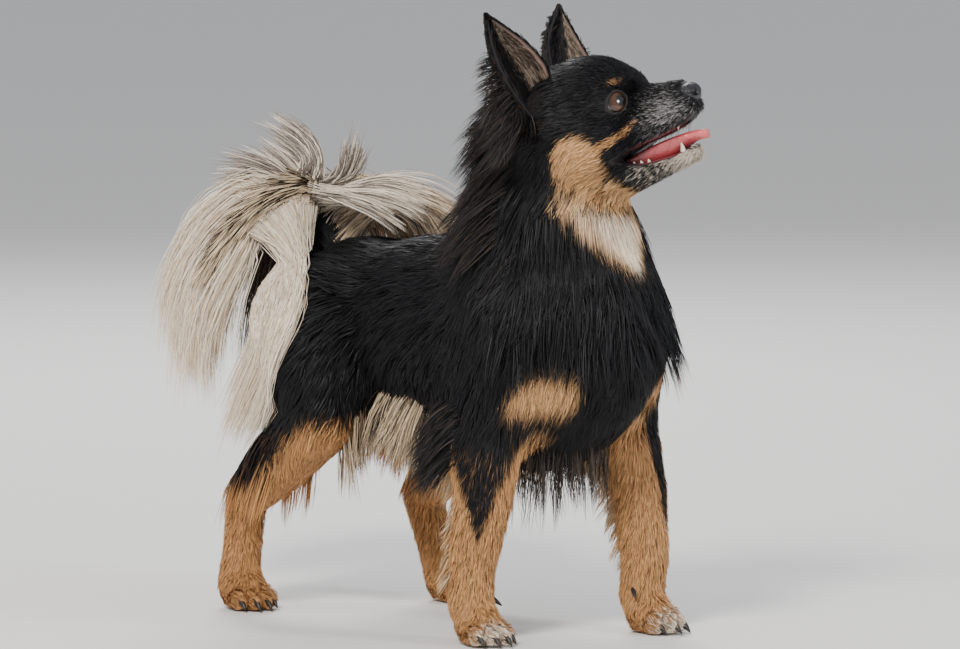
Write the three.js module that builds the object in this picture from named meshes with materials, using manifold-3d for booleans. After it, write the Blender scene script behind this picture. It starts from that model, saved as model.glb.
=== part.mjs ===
// A long-haired chihuahua standing with its head raised and turned to its left, life size, in millimetres.
// +X is forward, +Y is the dog's left and +Z is up. The paws stand on the floor at z = 0.
// The flesh is one smooth form of blended ellipsoids and tapered limbs, parted into nodes by thin cuts.
// Long hair is built as flat tapered locks that grow from that form and lie along the coat.
import * as THREE from "three";
import { mergeVertices } from "three/addons/utils/BufferGeometryUtils.js";
import Module from "manifold-3d";

const wasm = await Module();
wasm.setup();

// Driving dimensions
const WITHERS = 203; // floor to the top of the shoulders, over the coat
const CROUP = 189; // floor to the top of the rump
const STERNUM = 82; // floor to the underside of the chest
const CHEST_HALF = 47; // half the width of the ribs
const FORE_X = 46; // the elbows' station along the body
const HIP_X = -100; // the hips' station
const STANCE = 46; // half the distance between the left and right legs
const HEAD_AT = [60, 3, 257]; // middle of the skull
const HEAD_TURN = 30; // degrees to the dog's left
const HEAD_LIFT = 20; // degrees up
const SKULL = [36, 34, 29.5]; // half length, half width and half height of the braincase
const NOSE_X = 56; // skull centre to the nose, along the muzzle
const EYE_R = 9.5; // eyeball radius
const EYE_AT = [21, 18.5, -1]; // eyeball centre in the head's frame, left side
const EAR_ROOT = [-8, 27, 12]; // middle of an ear's root in the head's frame, left side
const EAR_TIP = [-13, 53, 56]; // its tip
const GAP = 0.3; // between nodes that touch
const SOCKET_GAP = 0.4; // between a ball and the flesh round it
const FINE = 5.6; // facet size on the head
const PAW_CELL = 3.6; // facet size on the paws
const LEG_CELL = 14; // facet height at the top of the legs
const TRUNK_CELL = 10.4; // facet size on the trunk

const RIGHT = -1;
const LEFT = 1;
const SIDES = { right: RIGHT, left: LEFT };
const rad = THREE.MathUtils.degToRad;

// Vectors as plain triples
const add = (a, b, k = 1) => [a[0] + b[0] * k, a[1] + b[1] * k, a[2] + b[2] * k];
const sub = (a, b) => add(a, b, -1);
const dot = (a, b) => a[0] * b[0] + a[1] * b[1] + a[2] * b[2];
const cross = (a, b) => [
  a[1] * b[2] - a[2] * b[1],
  a[2] * b[0] - a[0] * b[2],
  a[0] * b[1] - a[1] * b[0],
];
const unit = (a) => add([0, 0, 0], a, 1 / Math.hypot(...a));
const mix = (a, b, t) => a + (b - a) * t;
const mix3 = (a, b, t) => add(a, sub(b, a), t);
const clamp01 = (t) => Math.min(1, Math.max(0, t));
const sideways = (p, side) => [p[0], p[1] * side, p[2]];

// Seeded numbers from 0 to 1, so that every run gives the same locks.
function seeded(seed) {
  let s = seed;
  return () => {
    s = (s + 0x6d2b79f5) | 0;
    let t = Math.imul(s ^ (s >>> 15), 1 | s);
    t = (t + Math.imul(t ^ (t >>> 7), 61 | t)) ^ t;
    return ((t ^ (t >>> 14)) >>> 0) / 4294967296;
  };
}

// Forms: each gives the distance from a point to its surface, negative inside.
function ellipsoid(at, radii, tilt = 0) {
  const c = Math.cos(rad(tilt));
  const s = Math.sin(rad(tilt));
  return (p) => {
    const q = sub(p, at);
    const x = (q[0] * c + q[2] * s) / radii[0];
    const y = q[1] / radii[1];
    const z = (q[2] * c - q[0] * s) / radii[2];
    const k0 = Math.hypot(x, y, z);
    const k1 = Math.hypot(x / radii[0], y / radii[1], z / radii[2]);
    return k1 < 1e-9 ? -Math.min(...radii) : (k0 * (k0 - 1)) / k1;
  };
}

// A limb of round sections through stations [x, y, z, radius].
function limb(...stations) {
  const bones = stations.slice(1).map((b, i) => {
    const a = stations[i];
    const d = sub(b, a);
    return { a, d, dd: dot(d, d), grow: b[3] - a[3] };
  });
  return (p) => {
    let least = Infinity;
    for (const { a, d, dd, grow } of bones) {
      const q = sub(p, a);
      const t = clamp01(dot(q, d) / dd);
      least = Math.min(least, Math.hypot(...add(q, d, -t)) - a[3] - t * grow);
    }
    return least;
  };
}

function blend(width, ...forms) {
  return (p) =>
    forms.reduce((a, form) => {
      const b = form(p);
      const h = clamp01(0.5 + (0.5 * (b - a)) / width);
      return mix(b, a, h) - width * h * (1 - h);
    }, 1e3);
}

// The same form on both sides of the middle plane.
const bothSides = (form) => (p) => form([p[0], Math.abs(p[1]), p[2]]);

// The head's own frame: origin in the skull, +X along the muzzle, +Y to its left.
const headTurn = new THREE.Matrix4()
  .makeRotationZ(rad(HEAD_TURN))
  .multiply(new THREE.Matrix4().makeRotationY(rad(-HEAD_LIFT)))
  .setPosition(...HEAD_AT);
const headBack = headTurn.clone().invert();
const fromHead = (p) => new THREE.Vector3(...p).applyMatrix4(headTurn).toArray();
const intoHead = (p) => new THREE.Vector3(...p).applyMatrix4(headBack).toArray();

function torsoForm() {
  const chestMiddle = (WITHERS + STERNUM) / 2;
  const chestDepth = (WITHERS - STERNUM) / 2;
  return blend(
    16,
    ellipsoid([30, 0, chestMiddle], [64, CHEST_HALF, chestDepth]),
    ellipsoid([-38, 0, chestMiddle + 4], [68, CHEST_HALF - 5, 47]),
    ellipsoid([HIP_X, 0, CROUP - 43], [43, CHEST_HALF - 6, 43]),
    bothSides(ellipsoid([48, 33, 140], [25, 17, 42], -12)),
    bothSides(ellipsoid([HIP_X - 2, 31, 128], [33, 20, 42], 14)),
  );
}

function neckForm() {
  return blend(
    14,
    limb([34, 0, 168, 45], [44, 0, 204, 38], [50, 0, 232, 29]),
    ellipsoid([68, 3, 156], [31, 38, 46], 8),
  );
}

// Toes and pads of one paw, its middle at (x, y), turned outwards by some degrees.
function pawForm(x, y, turn, length = 1) {
  const c = Math.cos(rad(turn));
  const s = Math.sin(rad(turn));
  const at = (fwd, side, up) => [x + fwd * c - side * s, y + fwd * s + side * c, up];
  const toes = [-9, -3.2, 3.2, 9].map((side) => {
    const reach = (Math.abs(side) > 5 ? 8 : 13) * length;
    return ellipsoid(at(reach, side, 5.2), [6.6, 4.6, 6.6]);
  });
  return blend(3, ellipsoid(at(0, 0, 8), [12, 11.5, 11]), ...toes);
}

const PAWS = {
  foreleg_right: { at: [42, -STANCE], turn: -6, length: 1 },
  foreleg_left: { at: [62, STANCE + 1], turn: 10, length: 1 },
  hindleg_right: { at: [-137, -STANCE - 6], turn: -8, length: 0.95 },
  hindleg_left: { at: [-92, STANCE + 1], turn: 8, length: 0.95 },
};

function foreleg(side) {
  const { at, turn, length } = PAWS[side < 0 ? "foreleg_right" : "foreleg_left"];
  const [px, py] = at;
  const knee = side < 0 ? 0 : 3;
  return blend(
    5,
    limb(
      [52, side * 34, 150, 22],
      [FORE_X - 4, side * (STANCE - 3), 104, 19],
      [mix(FORE_X, px, 0.45), mix(side * STANCE, py, 0.45), 70, 14],
      [px - 7 + knee, py, 36, 11.6],
      [px - 7, py, 18, 10.8],
    ),
    pawForm(px, py, turn, length),
  );
}

function hindleg(side) {
  const near = side < 0;
  const { at, turn, length } = PAWS[near ? "hindleg_right" : "hindleg_left"];
  const [px, py] = at;
  const stifle = near ? [-80, -STANCE, 103] : [-64, STANCE, 102];
  const hock = near ? [-141, -STANCE - 2, 55] : [-116, STANCE + 2, 52];
  return blend(
    5,
    limb(
      [HIP_X, side * 30, 146, 33],
      [...mix3([HIP_X, side * 30, 146], stifle, 0.6), 27],
      [...stifle, 18],
      [...mix3(stifle, hock, 0.55), 15.5],
      [...hock, 10.2],
      [mix(hock[0], px - 5, 0.6), mix(hock[1], py, 0.6), 28, 9.6],
      [px - 5, py, 14, 10.4],
    ),
    pawForm(px, py, turn, length),
  );
}

// The tail's bone rises from the rump, curls over to the dog's right and comes down beside it.
const TAIL = [
  [-118, 0, 168, 13],
  [-131, -1, 186, 11],
  [-134, -6, 203, 9.5],
  [-131, -18, 211, 8.5],
  [-136, -34, 207, 8],
  [-147, -47, 192, 7],
  [-156, -54, 174, 5],
];
const tailForm = limb(...TAIL);

// Skull, muzzle and cheeks in the head's own frame, without the lower jaw.
const skullLocal = blend(
  7,
  ellipsoid([-4, 0, -3], SKULL),
  ellipsoid([10, 0, -1], [24, 26, 26]),
  ellipsoid([-8, 0, -27], [15, 21, 17]),
  bothSides(ellipsoid([23, 12, 6], [9, 8, 6])),
  bothSides(ellipsoid([17, 18, -3], [12, 10, 11])),
  bothSides(ellipsoid([4, 20, -17], [20, 13, 16])),
  bothSides(limb([22, 7, -13, 12], [38, 5, -13, 8.6], [51, 3.4, -12, 7.4])),
  limb([30, 0, -5, 8.5], [54, 0, -7, 6.4]),
);
const jawLocal = blend(
  4,
  bothSides(limb([2, 14, -31, 8], [24, 8.5, -36.5, 6], [45, 3, -37, 5])),
  limb([6, 0, -37, 9], [44, 0, -38.6, 4.4]),
);
const skullForm = (p) => skullLocal(intoHead(p));
const jawForm = (p) => jawLocal(intoHead(p));

const trunkForm = blend(14, torsoForm(), neckForm());
const bodyForm = blend(
  9,
  trunkForm,
  foreleg(RIGHT),
  foreleg(LEFT),
  hindleg(RIGHT),
  hindleg(LEFT),
);
const headForm = blend(4, skullForm, jawForm);
const wholeForm = (p) => Math.min(blend(6, bodyForm, headForm)(p), tailForm(p));

function slope(form, p, e = 0.4) {
  const g = [0, 1, 2].map((i) => {
    const step = [0, 0, 0];
    step[i] = e;
    return (form(add(p, step)) - form(sub(p, step))) / (2 * e);
  });
  return Math.hypot(...g) < 1e-6 ? [0, 0, 1] : g;
}

function sharesEdges(faces) {
  const seen = new Set();
  for (let i = 0; i < faces.length; i += 3)
    for (let k = 0; k < 3; k++) {
      const edge = faces[i + k] * 1e6 + faces[i + ((k + 1) % 3)];
      if (seen.has(edge)) return true;
      seen.add(edge);
    }
  return false;
}

// A closed mesh of the form's surface over a grid of stations along x, y and z: one vertex in each cell
// that the surface crosses, drawn onto the surface, and one quad round each crossed edge. Where two
// sheets would share an edge, the grid is nudged along and the surface is drawn again.
function surfaceOf(form, xs, ys, zs, tries = 12) {
  const grid = [xs, ys, zs];
  const n = grid.map((g) => g.length);
  const index = (c) => c[0] + n[0] * (c[1] + n[1] * c[2]);
  const place = (c) => c.map((k, axis) => grid[axis][k]);
  const ends = grid.map((g) => [g[0] + (g[1] - g[0]) * 1.2, g.at(-1) - (g.at(-1) - g.at(-2)) * 1.2]);
  const bounded = (p) => Math.max(form(p), ...p.map((v, i) => Math.max(ends[i][0] - v, v - ends[i][1])));
  const value = new Float32Array(n[0] * n[1] * n[2]);
  for (let k = 0; k < n[2]; k++)
    for (let j = 0; j < n[1]; j++)
      for (let i = 0; i < n[0]; i++) value[index([i, j, k])] = bounded(place([i, j, k]));
  const corners = [...Array(8)].map((_, c) => [c & 1, (c >> 1) & 1, (c >> 2) & 1]);
  const edges = corners.flatMap((_, a) => [1, 2, 4].filter((bit) => !(a & bit)).map((bit) => [a, a | bit]));
  const vertexOf = new Map();
  const positions = [];
  const makeVertex = (cell) => {
    const crossings = [];
    for (const [a, b] of edges) {
      const va = value[index(add(cell, corners[a]))];
      const vb = value[index(add(cell, corners[b]))];
      if (va < 0 === vb < 0) continue;
      crossings.push(mix3(place(add(cell, corners[a])), place(add(cell, corners[b])), va / (va - vb)));
    }
    let p = crossings.reduce((sum, c) => add(sum, c, 1 / crossings.length), [0, 0, 0]);
    const g = slope(bounded, p);
    const pulled = add(p, g, -bounded(p) / dot(g, g));
    const cellLow = place(cell);
    const cellHigh = place(add(cell, [1, 1, 1]));
    p = pulled.map((v, axis) => {
      const margin = (cellHigh[axis] - cellLow[axis]) * 0.04;
      return Math.min(cellHigh[axis] - margin, Math.max(cellLow[axis] + margin, v));
    });
    positions.push(...p);
    return positions.length / 3 - 1;
  };
  const vertex = (cell) => {
    const key = index(cell);
    if (!vertexOf.has(key)) vertexOf.set(key, makeVertex(cell));
    return vertexOf.get(key);
  };
  const faces = [];
  const quad = (c, axis) => {
    const inside = value[index(c)] < 0;
    const next = [...c];
    next[axis]++;
    if (inside === value[index(next)] < 0) return;
    const ring = [[0, 0], [-1, 0], [-1, -1], [0, -1]].map(([du, dv]) => {
      const cell = [...c];
      cell[(axis + 1) % 3] += du;
      cell[(axis + 2) % 3] += dv;
      return vertex(cell);
    });
    if (!inside) ring.reverse();
    const [p, q, r, s] = ring;
    faces.push(p, q, r, p, r, s);
  };
  for (let k = 1; k < n[2] - 1; k++)
    for (let j = 1; j < n[1] - 1; j++)
      for (let i = 1; i < n[0] - 1; i++) for (let axis = 0; axis < 3; axis++) quad([i, j, k], axis);
  if (tries && sharesEdges(faces)) {
    const nudged = grid.map((g, axis) => g.map((v) => v + 0.31 + 0.17 * axis));
    return surfaceOf(form, ...nudged, tries - 1);
  }
  return new THREE.BufferGeometry()
    .setAttribute("position", new THREE.Float32BufferAttribute(positions, 3))
    .setIndex(faces);
}

// Stations from low to high whose spacing grows evenly from one facet size to another.
function stations(low, high, first, last = first) {
  const list = [low];
  while (list.at(-1) < high) {
    const t = clamp01((list.at(-1) - low) / (high - low));
    list.push(list.at(-1) + mix(first, last, t));
  }
  return list;
}

// Solids for joining and cutting
function solid(geometry, tolerance = 1e-4) {
  const bare = geometry.clone();
  bare.deleteAttribute("normal");
  bare.deleteAttribute("uv");
  const merged = mergeVertices(bare, tolerance);
  return new wasm.Manifold(
    new wasm.Mesh({
      numProp: 3,
      vertProperties: new Float32Array(merged.attributes.position.array),
      triVerts: new Uint32Array(merged.index.array),
    }),
  );
}

// Vertices lie on a grid of hundredths, so that slivers left by a cut close up the same way everywhere.
const SNAP = 100;
function geometryOf(body) {
  const { numProp, numVert, vertProperties, triVerts } = body.getMesh();
  const positions = new Float32Array(numVert * 3);
  for (let i = 0; i < numVert * 3; i++) {
    const value = vertProperties[Math.floor(i / 3) * numProp + (i % 3)];
    positions[i] = Math.round(value * SNAP) / SNAP;
  }
  return new THREE.BufferGeometry()
    .setAttribute("position", new THREE.BufferAttribute(positions, 3))
    .setIndex(new THREE.BufferAttribute(new Uint32Array(triVerts), 1));
}

const join = (...bodies) => wasm.Manifold.union(bodies.flat());
const cut = (body, ...tools) => body.subtract(join(...tools));

// The biggest closed surface of a body: loose bits are dropped and pockets between locks are filled.
function largest(whole) {
  const body = whole.decompose().reduce((a, b) => (b.volume() > a.volume() ? b : a));
  const { numProp, numVert, vertProperties, triVerts } = body.getMesh();
  const owner = [...Array(numVert).keys()];
  const find = (v) => {
    while (owner[v] !== v) v = owner[v] = owner[owner[v]];
    return v;
  };
  for (let i = 0; i < triVerts.length; i += 3) {
    owner[find(triVerts[i])] = find(triVerts[i + 1]);
    owner[find(triVerts[i + 1])] = find(triVerts[i + 2]);
  }
  const at = (v) => [...vertProperties.subarray(v * numProp, v * numProp + 3)];
  const shells = new Map();
  for (let i = 0; i < triVerts.length; i += 3) {
    const [a, b, c] = triVerts.subarray(i, i + 3);
    const shell = shells.get(find(a)) ?? { faces: [], volume: 0 };
    shell.faces.push(a, b, c);
    shell.volume += dot(at(a), cross(at(b), at(c))) / 6;
    shells.set(find(a), shell);
  }
  const [most] = [...shells.values()].sort((a, b) => b.volume - a.volume);
  const numbered = new Map();
  const positions = [];
  const index = most.faces.map((v) => {
    if (!numbered.has(v)) {
      numbered.set(v, numbered.size);
      positions.push(...at(v));
    }
    return numbered.get(v);
  });
  return new wasm.Manifold(
    new wasm.Mesh({
      numProp: 3,
      vertProperties: new Float32Array(positions),
      triVerts: new Uint32Array(index),
    }),
  );
}

// The body with vertices closer than a thousandth drawn together, or nothing where that makes it touch
// itself along an edge.
function settled(body) {
  const whole = largest(solid(geometryOf(body), 1e-3));
  const { numProp, numVert, vertProperties, triVerts } = whole.getMesh();
  const keys = [...Array(numVert)].map((_, v) =>
    [...vertProperties.subarray(v * numProp, v * numProp + 3)].map((x) => x.toFixed(3)).join(),
  );
  const seen = new Set();
  for (let i = 0; i < triVerts.length; i += 3)
    for (let k = 0; k < 3; k++) {
      const edge = [keys[triVerts[i + k]], keys[triVerts[i + ((k + 1) % 3)]]];
      if (edge[0] === edge[1] || seen.has(edge.join())) return null;
      seen.add(edge.join());
    }
  return whole;
}

// Everything ahead of a plane through a point, as a big block.
function ahead(point, direction, size = 600) {
  const turn = new THREE.Quaternion().setFromUnitVectors(
    new THREE.Vector3(0, 0, 1),
    new THREE.Vector3(...unit(direction)),
  );
  const box = new THREE.BoxGeometry(size, size, size).translate(0, 0, size / 2);
  return solid(box.applyQuaternion(turn).translate(...point));
}
const behind = (point, direction) => ahead(point, add([0, 0, 0], direction, -1));

function block(low, high) {
  const box = new THREE.BoxGeometry(...sub(high, low));
  return solid(box.translate(...mix3(low, high, 0.5)));
}

function ball(at, radius, around = 13) {
  return solid(new THREE.SphereGeometry(radius, around, around * 0.6).translate(...at));
}

// A cone from a base point to its tip, for claws and teeth.
function spike(base, tip, radius, sides = 6) {
  const d = sub(tip, base);
  const length = Math.hypot(...d);
  const turn = new THREE.Quaternion().setFromUnitVectors(
    new THREE.Vector3(0, 1, 0),
    new THREE.Vector3(...unit(d)),
  );
  const cone = new THREE.ConeGeometry(radius, length, sides).translate(0, length / 2, 0);
  return solid(cone.applyQuaternion(turn).translate(...base));
}

// Long hair. A lock is a flat strip of diamond section that follows the points given, widest before its
// middle and running out to a fine tip. Its flat side faces the form that it lies on.
const LOCK_SHAPE = [0.55, 0.95, 1, 0.8, 0.5];
function lockGeometry(points, width, thickness) {
  const positions = [];
  const rings = points.length - 1;
  for (let i = 0; i < rings; i++) {
    const along = unit(sub(points[i + 1], points[Math.max(0, i - 1)]));
    const across = unit(cross(along, slope(wholeForm, points[i])));
    const up = unit(cross(across, along));
    const w = width * 0.5 * LOCK_SHAPE[Math.round((i / (rings - 1)) * (LOCK_SHAPE.length - 1))];
    const t = thickness * 0.5 * (1 - (0.5 * i) / rings);
    for (const [side, lift] of [[w, 0], [0, t], [-w, 0], [0, -t]])
      positions.push(...add(add(points[i], across, side), up, lift));
  }
  positions.push(...points[rings]);
  const at = (i, k) => i * 4 + (k % 4);
  const faces = [0, 1, 2, 0, 2, 3];
  for (let k = 0; k < 4; k++) {
    for (let i = 0; i < rings - 1; i++)
      faces.push(at(i, k), at(i + 1, k), at(i + 1, k + 1), at(i, k), at(i + 1, k + 1), at(i, k + 1));
    faces.push(at(rings - 1, k), rings * 4, at(rings - 1, k + 1));
  }
  return new THREE.BufferGeometry()
    .setAttribute("position", new THREE.Float32BufferAttribute(positions, 3))
    .setIndex(faces);
}

// The point where a ray from inside a form leaves it.
function leaving(form, from, direction) {
  const d = unit(direction);
  let p = from;
  for (let i = 0; i < 200 && form(p) < 0; i++) p = add(p, d, Math.max(0.3, -form(p) * 0.7));
  return p;
}

function keepOff(p, clear) {
  const g = slope(wholeForm, p);
  const d = wholeForm(p) / Math.hypot(...g);
  const moved = d < clear ? add(p, unit(g), clear - d) : p;
  return [moved[0], moved[1], Math.max(moved[2], 3)];
}

// A lock that leaves its root along `lie`, lifts by `rise`, sags by `droop` and stays clear of the body.
function fallingPath({ root, lie, length, droop = 0.3, clear = 3, rise = 0.15, steps = 4 }) {
  const out = unit(slope(wholeForm, root));
  const points = [add(root, out, -4)];
  let heading = unit(add(unit(lie), out, rise));
  for (let i = 1; i <= steps; i++) {
    heading = unit(add(heading, [0, 0, -1], (droop * i) / steps));
    points.push(keepOff(add(points[i - 1], heading, length / steps), i === 1 ? clear * 0.4 : clear));
  }
  return points;
}

// A lock that arches from its root over a middle point to its tip.
function archingPath({ root, via, tip, clear = 3, steps = 5 }) {
  const curve = new THREE.QuadraticBezierCurve3(
    ...[root, via, tip].map((p) => new THREE.Vector3(...p)),
  );
  return curve.getPoints(steps).map((p, i) => (i < 2 ? p.toArray() : keepOff(p.toArray(), clear)));
}

// Locks are kept when they stand clear of the other nodes and of the locks on them.
const grownLocks = [];
function growLocks(node, specs, others) {
  return specs.flatMap((spec) => {
    const points = spec.tip ? archingPath(spec) : fallingPath(spec);
    const make = (extra) => solid(lockGeometry(points, spec.width + extra, spec.thickness + extra));
    const fat = make(1.2);
    const near = grownLocks.filter((lock) => lock.node !== node).map((lock) => lock.body);
    if ([...others, ...near].some((body) => !fat.intersect(body).isEmpty())) return [];
    grownLocks.push({ node, body: fat });
    return [make(0)];
  });
}

// Cuts that part the flesh into nodes
const HEAD_CUT = [[52, 0, 222], [0.29, 0.17, 0.94]];
const NECK_CUT = [[22, 0, 204], [0.84, 0, 0.545]];
const shifted = ([point, direction], by) => [add(point, unit(direction), by), direction];
const heightOver = ([point, direction], p) => dot(sub(p, point), unit(direction));

function legBlock(name, margin = 0) {
  const fore = name.startsWith("fore");
  const side = Math.sign(PAWS[name].at[1]);
  const ends = [side * ((fore ? 24 : 20) - margin), side * 110];
  const [x0, x1, top] = fore ? [-8, 100, 100] : [-190, -38, 112];
  return block(
    [x0 - margin, Math.min(...ends), margin ? -60 : 0],
    [x1 + margin, Math.max(...ends), top + margin],
  );
}

// Trunk
const trunk = solid(
  surfaceOf(
    bodyForm,
    stations(-170, 130, TRUNK_CELL),
    stations(-79.9, 79.9, TRUNK_CELL),
    stations(60, 290, TRUNK_CELL),
  ),
);
const legNames = Object.keys(PAWS);
const torso = largest(
  cut(trunk, ahead(...shifted(NECK_CUT, -GAP)), ...legNames.map((name) => legBlock(name, GAP))),
);
const neck = largest(
  cut(
    trunk.intersect(ahead(...NECK_CUT)).intersect(behind(...shifted(HEAD_CUT, -GAP))),
    ...legNames.map((name) => legBlock(name, GAP)),
  ),
);

// Legs, with claws on the toes and dewclaws on the forelegs
function claws(name) {
  const { at, turn, length } = PAWS[name];
  const c = Math.cos(rad(turn));
  const s = Math.sin(rad(turn));
  const place = (fwd, side, up) => [at[0] + fwd * c - side * s, at[1] + fwd * s + side * c, up];
  const toes = [-9, -3.2, 3.2, 9].map((side) => {
    const reach = (Math.abs(side) > 5 ? 12.5 : 17.5) * length;
    return spike(place(reach, side, 5), place(reach + 5, side, 1.2), 1.5);
  });
  if (name.startsWith("hind")) return toes;
  const inner = -Math.sign(at[1]);
  return [...toes, spike(place(-4, inner * 9.5, 22), place(0, inner * 12.5, 18), 1.4)];
}

function leg(name) {
  const [x, y] = PAWS[name].at;
  const [back, front] = name.startsWith("fore") ? [-50, 50] : [-62, 104];
  const side = Math.sign(y);
  const flesh = solid(
    surfaceOf(
      bodyForm,
      stations(x + back, x + front, PAW_CELL * 1.9),
      stations(side < 0 ? -78 : 12, side < 0 ? -12 : 78, PAW_CELL * 1.22),
      stations(-6, name.startsWith("fore") ? 116 : 128, PAW_CELL, LEG_CELL),
    ),
  );
  return join(flesh, claws(name)).intersect(legBlock(name));
}
const legs = Object.fromEntries(legNames.map((name) => [name, largest(leg(name))]));

// Head: skull, lids, lips and teeth, with the sockets, the mouth and the ears' roots cut out
const bodyNearHead = (p) => bodyForm(fromHead(p));
const headLocal = blend(5, skullLocal, bodyNearHead);
const headGrid = [
  stations(-66, 74, FINE * 1.5, FINE * 0.8),
  stations(-47.5, 47.5, FINE),
  stations(-66, 44, FINE * 1.5, FINE * 0.85),
];
const swollen = (form, by) => (p) => form(p) - by;
const headFlesh = solid(surfaceOf(headLocal, ...headGrid));
const headSwollen = solid(surfaceOf(swollen(headLocal, 0.8), ...headGrid));

function lid(side) {
  const out = unit([0.74, 0.64 * side, 0.16]);
  const level = unit(cross([0, 0, 1], out));
  const up = cross(out, level);
  const middle = sideways(EYE_AT, side);
  const ring = [...Array(16)].map((_, i) => {
    const a = (i / 16) * Math.PI * 2;
    const open = rad(36 - 4 * Math.abs(Math.sin(a)));
    const rim = add(add([0, 0, 0], level, Math.cos(a)), up, Math.sin(a));
    const d = add(add([0, 0, 0], out, Math.cos(open)), rim, Math.sin(open));
    return new THREE.Vector3(...add(middle, d, EYE_R + 0.3));
  });
  return solid(new THREE.TubeGeometry(new THREE.CatmullRomCurve3(ring, true), 16, 1.7, 5, true));
}

// The tongue is a flat drop that lies in the jaw and runs out over the lower lip.
function tongueGeometry(extra = 0) {
  const drop = new THREE.SphereGeometry(1, 12, 8).rotateZ(Math.PI / 2);
  const at = drop.attributes.position;
  for (let i = 0; i < at.count; i++) {
    const u = at.getX(i);
    const x = 33 + u * (27 + extra);
    const bend = -27.6 - 0.0035 * (x - 44) ** 2 - 0.012 * Math.max(0, x - 48) ** 2;
    const wide = 7.6 - 1.6 * Math.max(0, u);
    at.setXYZ(i, x, at.getY(i) * (wide + extra), bend + at.getZ(i) * (2.6 + extra));
  }
  return drop;
}

function teeth(upper) {
  const dir = upper ? -1 : 1;
  const gum = upper ? -18 : -33.5;
  const row = [[-3.4, 1.1], [-1.2, 1.1], [1.2, 1.1], [3.4, 1.1]].map(([y, r]) =>
    spike([upper ? 53 : 50.5, y * 0.9, gum], [upper ? 54 : 51.5, y * 0.9, gum + dir * 3.6], r, 5),
  );
  const canine = [-1, 1].map((side) => {
    const y = side * (upper ? 6.4 : 5.6);
    return spike([upper ? 44 : 46.5, y, gum - dir], [upper ? 45 : 47.5, y * 1.05, gum + dir * 5.6], 1.6);
  });
  return [...row, ...canine];
}

const headTransform = (body) => body.transform(headTurn.elements);
const eyes = Object.fromEntries(
  Object.entries(SIDES).map(([name, side]) => [name, sideways(EYE_AT, side)]),
);
const tongueLocal = solid(tongueGeometry());
const tongueRoom = solid(tongueGeometry(GAP));
const jawGrid = [stations(-12, 62, 5), stations(-32, 32, 4), stations(-52, -14, 4)];
const jawFlesh = solid(surfaceOf(jawLocal, ...jawGrid));
const sockets = Object.values(eyes).map((at) => ball(at, EYE_R + SOCKET_GAP));

const noseForm = blend(
  2,
  ellipsoid([NOSE_X, 0, -7.6], [5.8, 6.2, 5.2]),
  bothSides(ellipsoid([NOSE_X - 1, 4.2, -8.2], [5.6, 4, 4.2])),
);
const noseGrid = [stations(44, 66, 2.4), stations(-12, 12, 2.4), stations(-17, 1, 2.2)];
const nostrils = Object.values(SIDES).map((side) =>
  spike([NOSE_X + 9, side * 4.6, -8.6], [NOSE_X + 1, side * 1.6, -8], 2.6, 7),
);
const noseFlesh = solid(surfaceOf(noseForm, ...noseGrid));
const noseLocal = largest(cut(noseFlesh, headSwollen, ...nostrils));

const headLocalSolid = largest(
  cut(join(headFlesh, lid(RIGHT), lid(LEFT), teeth(true)), ...sockets, tongueRoom),
);
const headPlaced = largest(headTransform(headLocalSolid).intersect(ahead(...HEAD_CUT)));
const jawLocalSolid = largest(cut(join(jawFlesh, teeth(false)), headSwollen, tongueRoom));
const jawPlaced = largest(headTransform(jawLocalSolid).intersect(ahead(...HEAD_CUT)));

// An ear is a cupped shell that stands on the side of the skull and opens forwards.
const EAR_RADII = [15, 14.5, 15.5, 15, 13, 9.5, 5.5, 1.6];
const EAR_REACH = [-0.22, 0, 0.18, 0.36, 0.54, 0.72, 0.88, 1];
const EAR_WRAP = [100, 100, 98, 94, 88, 80, 72, 60];
const EAR_THICK = 2.6;
function earGeometry(side) {
  const root = sideways(EAR_ROOT, side);
  const tip = sideways(EAR_TIP, side);
  const axis = unit(sub(tip, root));
  const facing = unit([0.9, 0.42 * side, 0.1]);
  const open = unit(add(facing, axis, -dot(facing, axis)));
  const across = cross(axis, open);
  const around = 7;
  const positions = [];
  for (const layer of [0, 1])
    EAR_REACH.forEach((s, i) => {
      const r = EAR_RADII[i] - layer * Math.min(EAR_THICK, EAR_RADII[i] * 0.6);
      const middle = add(mix3(root, tip, s), open, -EAR_RADII[i] * 0.35 + 3 * s);
      for (let j = 0; j <= around; j++) {
        const a = rad(EAR_WRAP[i] - layer * 6) * ((2 * j) / around - 1);
        const back = add(middle, open, -r * Math.cos(a) * 0.72 + EAR_RADII[i] * 0.35);
        positions.push(...add(back, across, r * Math.sin(a)));
      }
    });
  const rings = EAR_REACH.length;
  const at = (layer, i, j) => (layer * rings + i) * (around + 1) + j;
  const faces = [];
  const quad = (a, b, c, d) => faces.push(a, c, b, a, d, c);
  for (let i = 0; i < rings - 1; i++) {
    for (let j = 0; j < around; j++) {
      quad(at(0, i, j), at(0, i, j + 1), at(0, i + 1, j + 1), at(0, i + 1, j));
      quad(at(1, i, j), at(1, i + 1, j), at(1, i + 1, j + 1), at(1, i, j + 1));
    }
    quad(at(0, i, 0), at(0, i + 1, 0), at(1, i + 1, 0), at(1, i, 0));
    quad(at(0, i, around), at(1, i, around), at(1, i + 1, around), at(0, i + 1, around));
  }
  for (let j = 0; j < around; j++) {
    quad(at(0, 0, j), at(1, 0, j), at(1, 0, j + 1), at(0, 0, j + 1));
    quad(at(0, rings - 1, j), at(0, rings - 1, j + 1), at(1, rings - 1, j + 1), at(1, rings - 1, j));
  }
  return new THREE.BufferGeometry()
    .setAttribute("position", new THREE.Float32BufferAttribute(positions, 3))
    .setIndex(faces);
}
const ears = Object.fromEntries(
  Object.entries(SIDES).map(([name, side]) => [
    name,
    headTransform(largest(cut(solid(earGeometry(side)), headSwollen))),
  ]),
);

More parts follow.
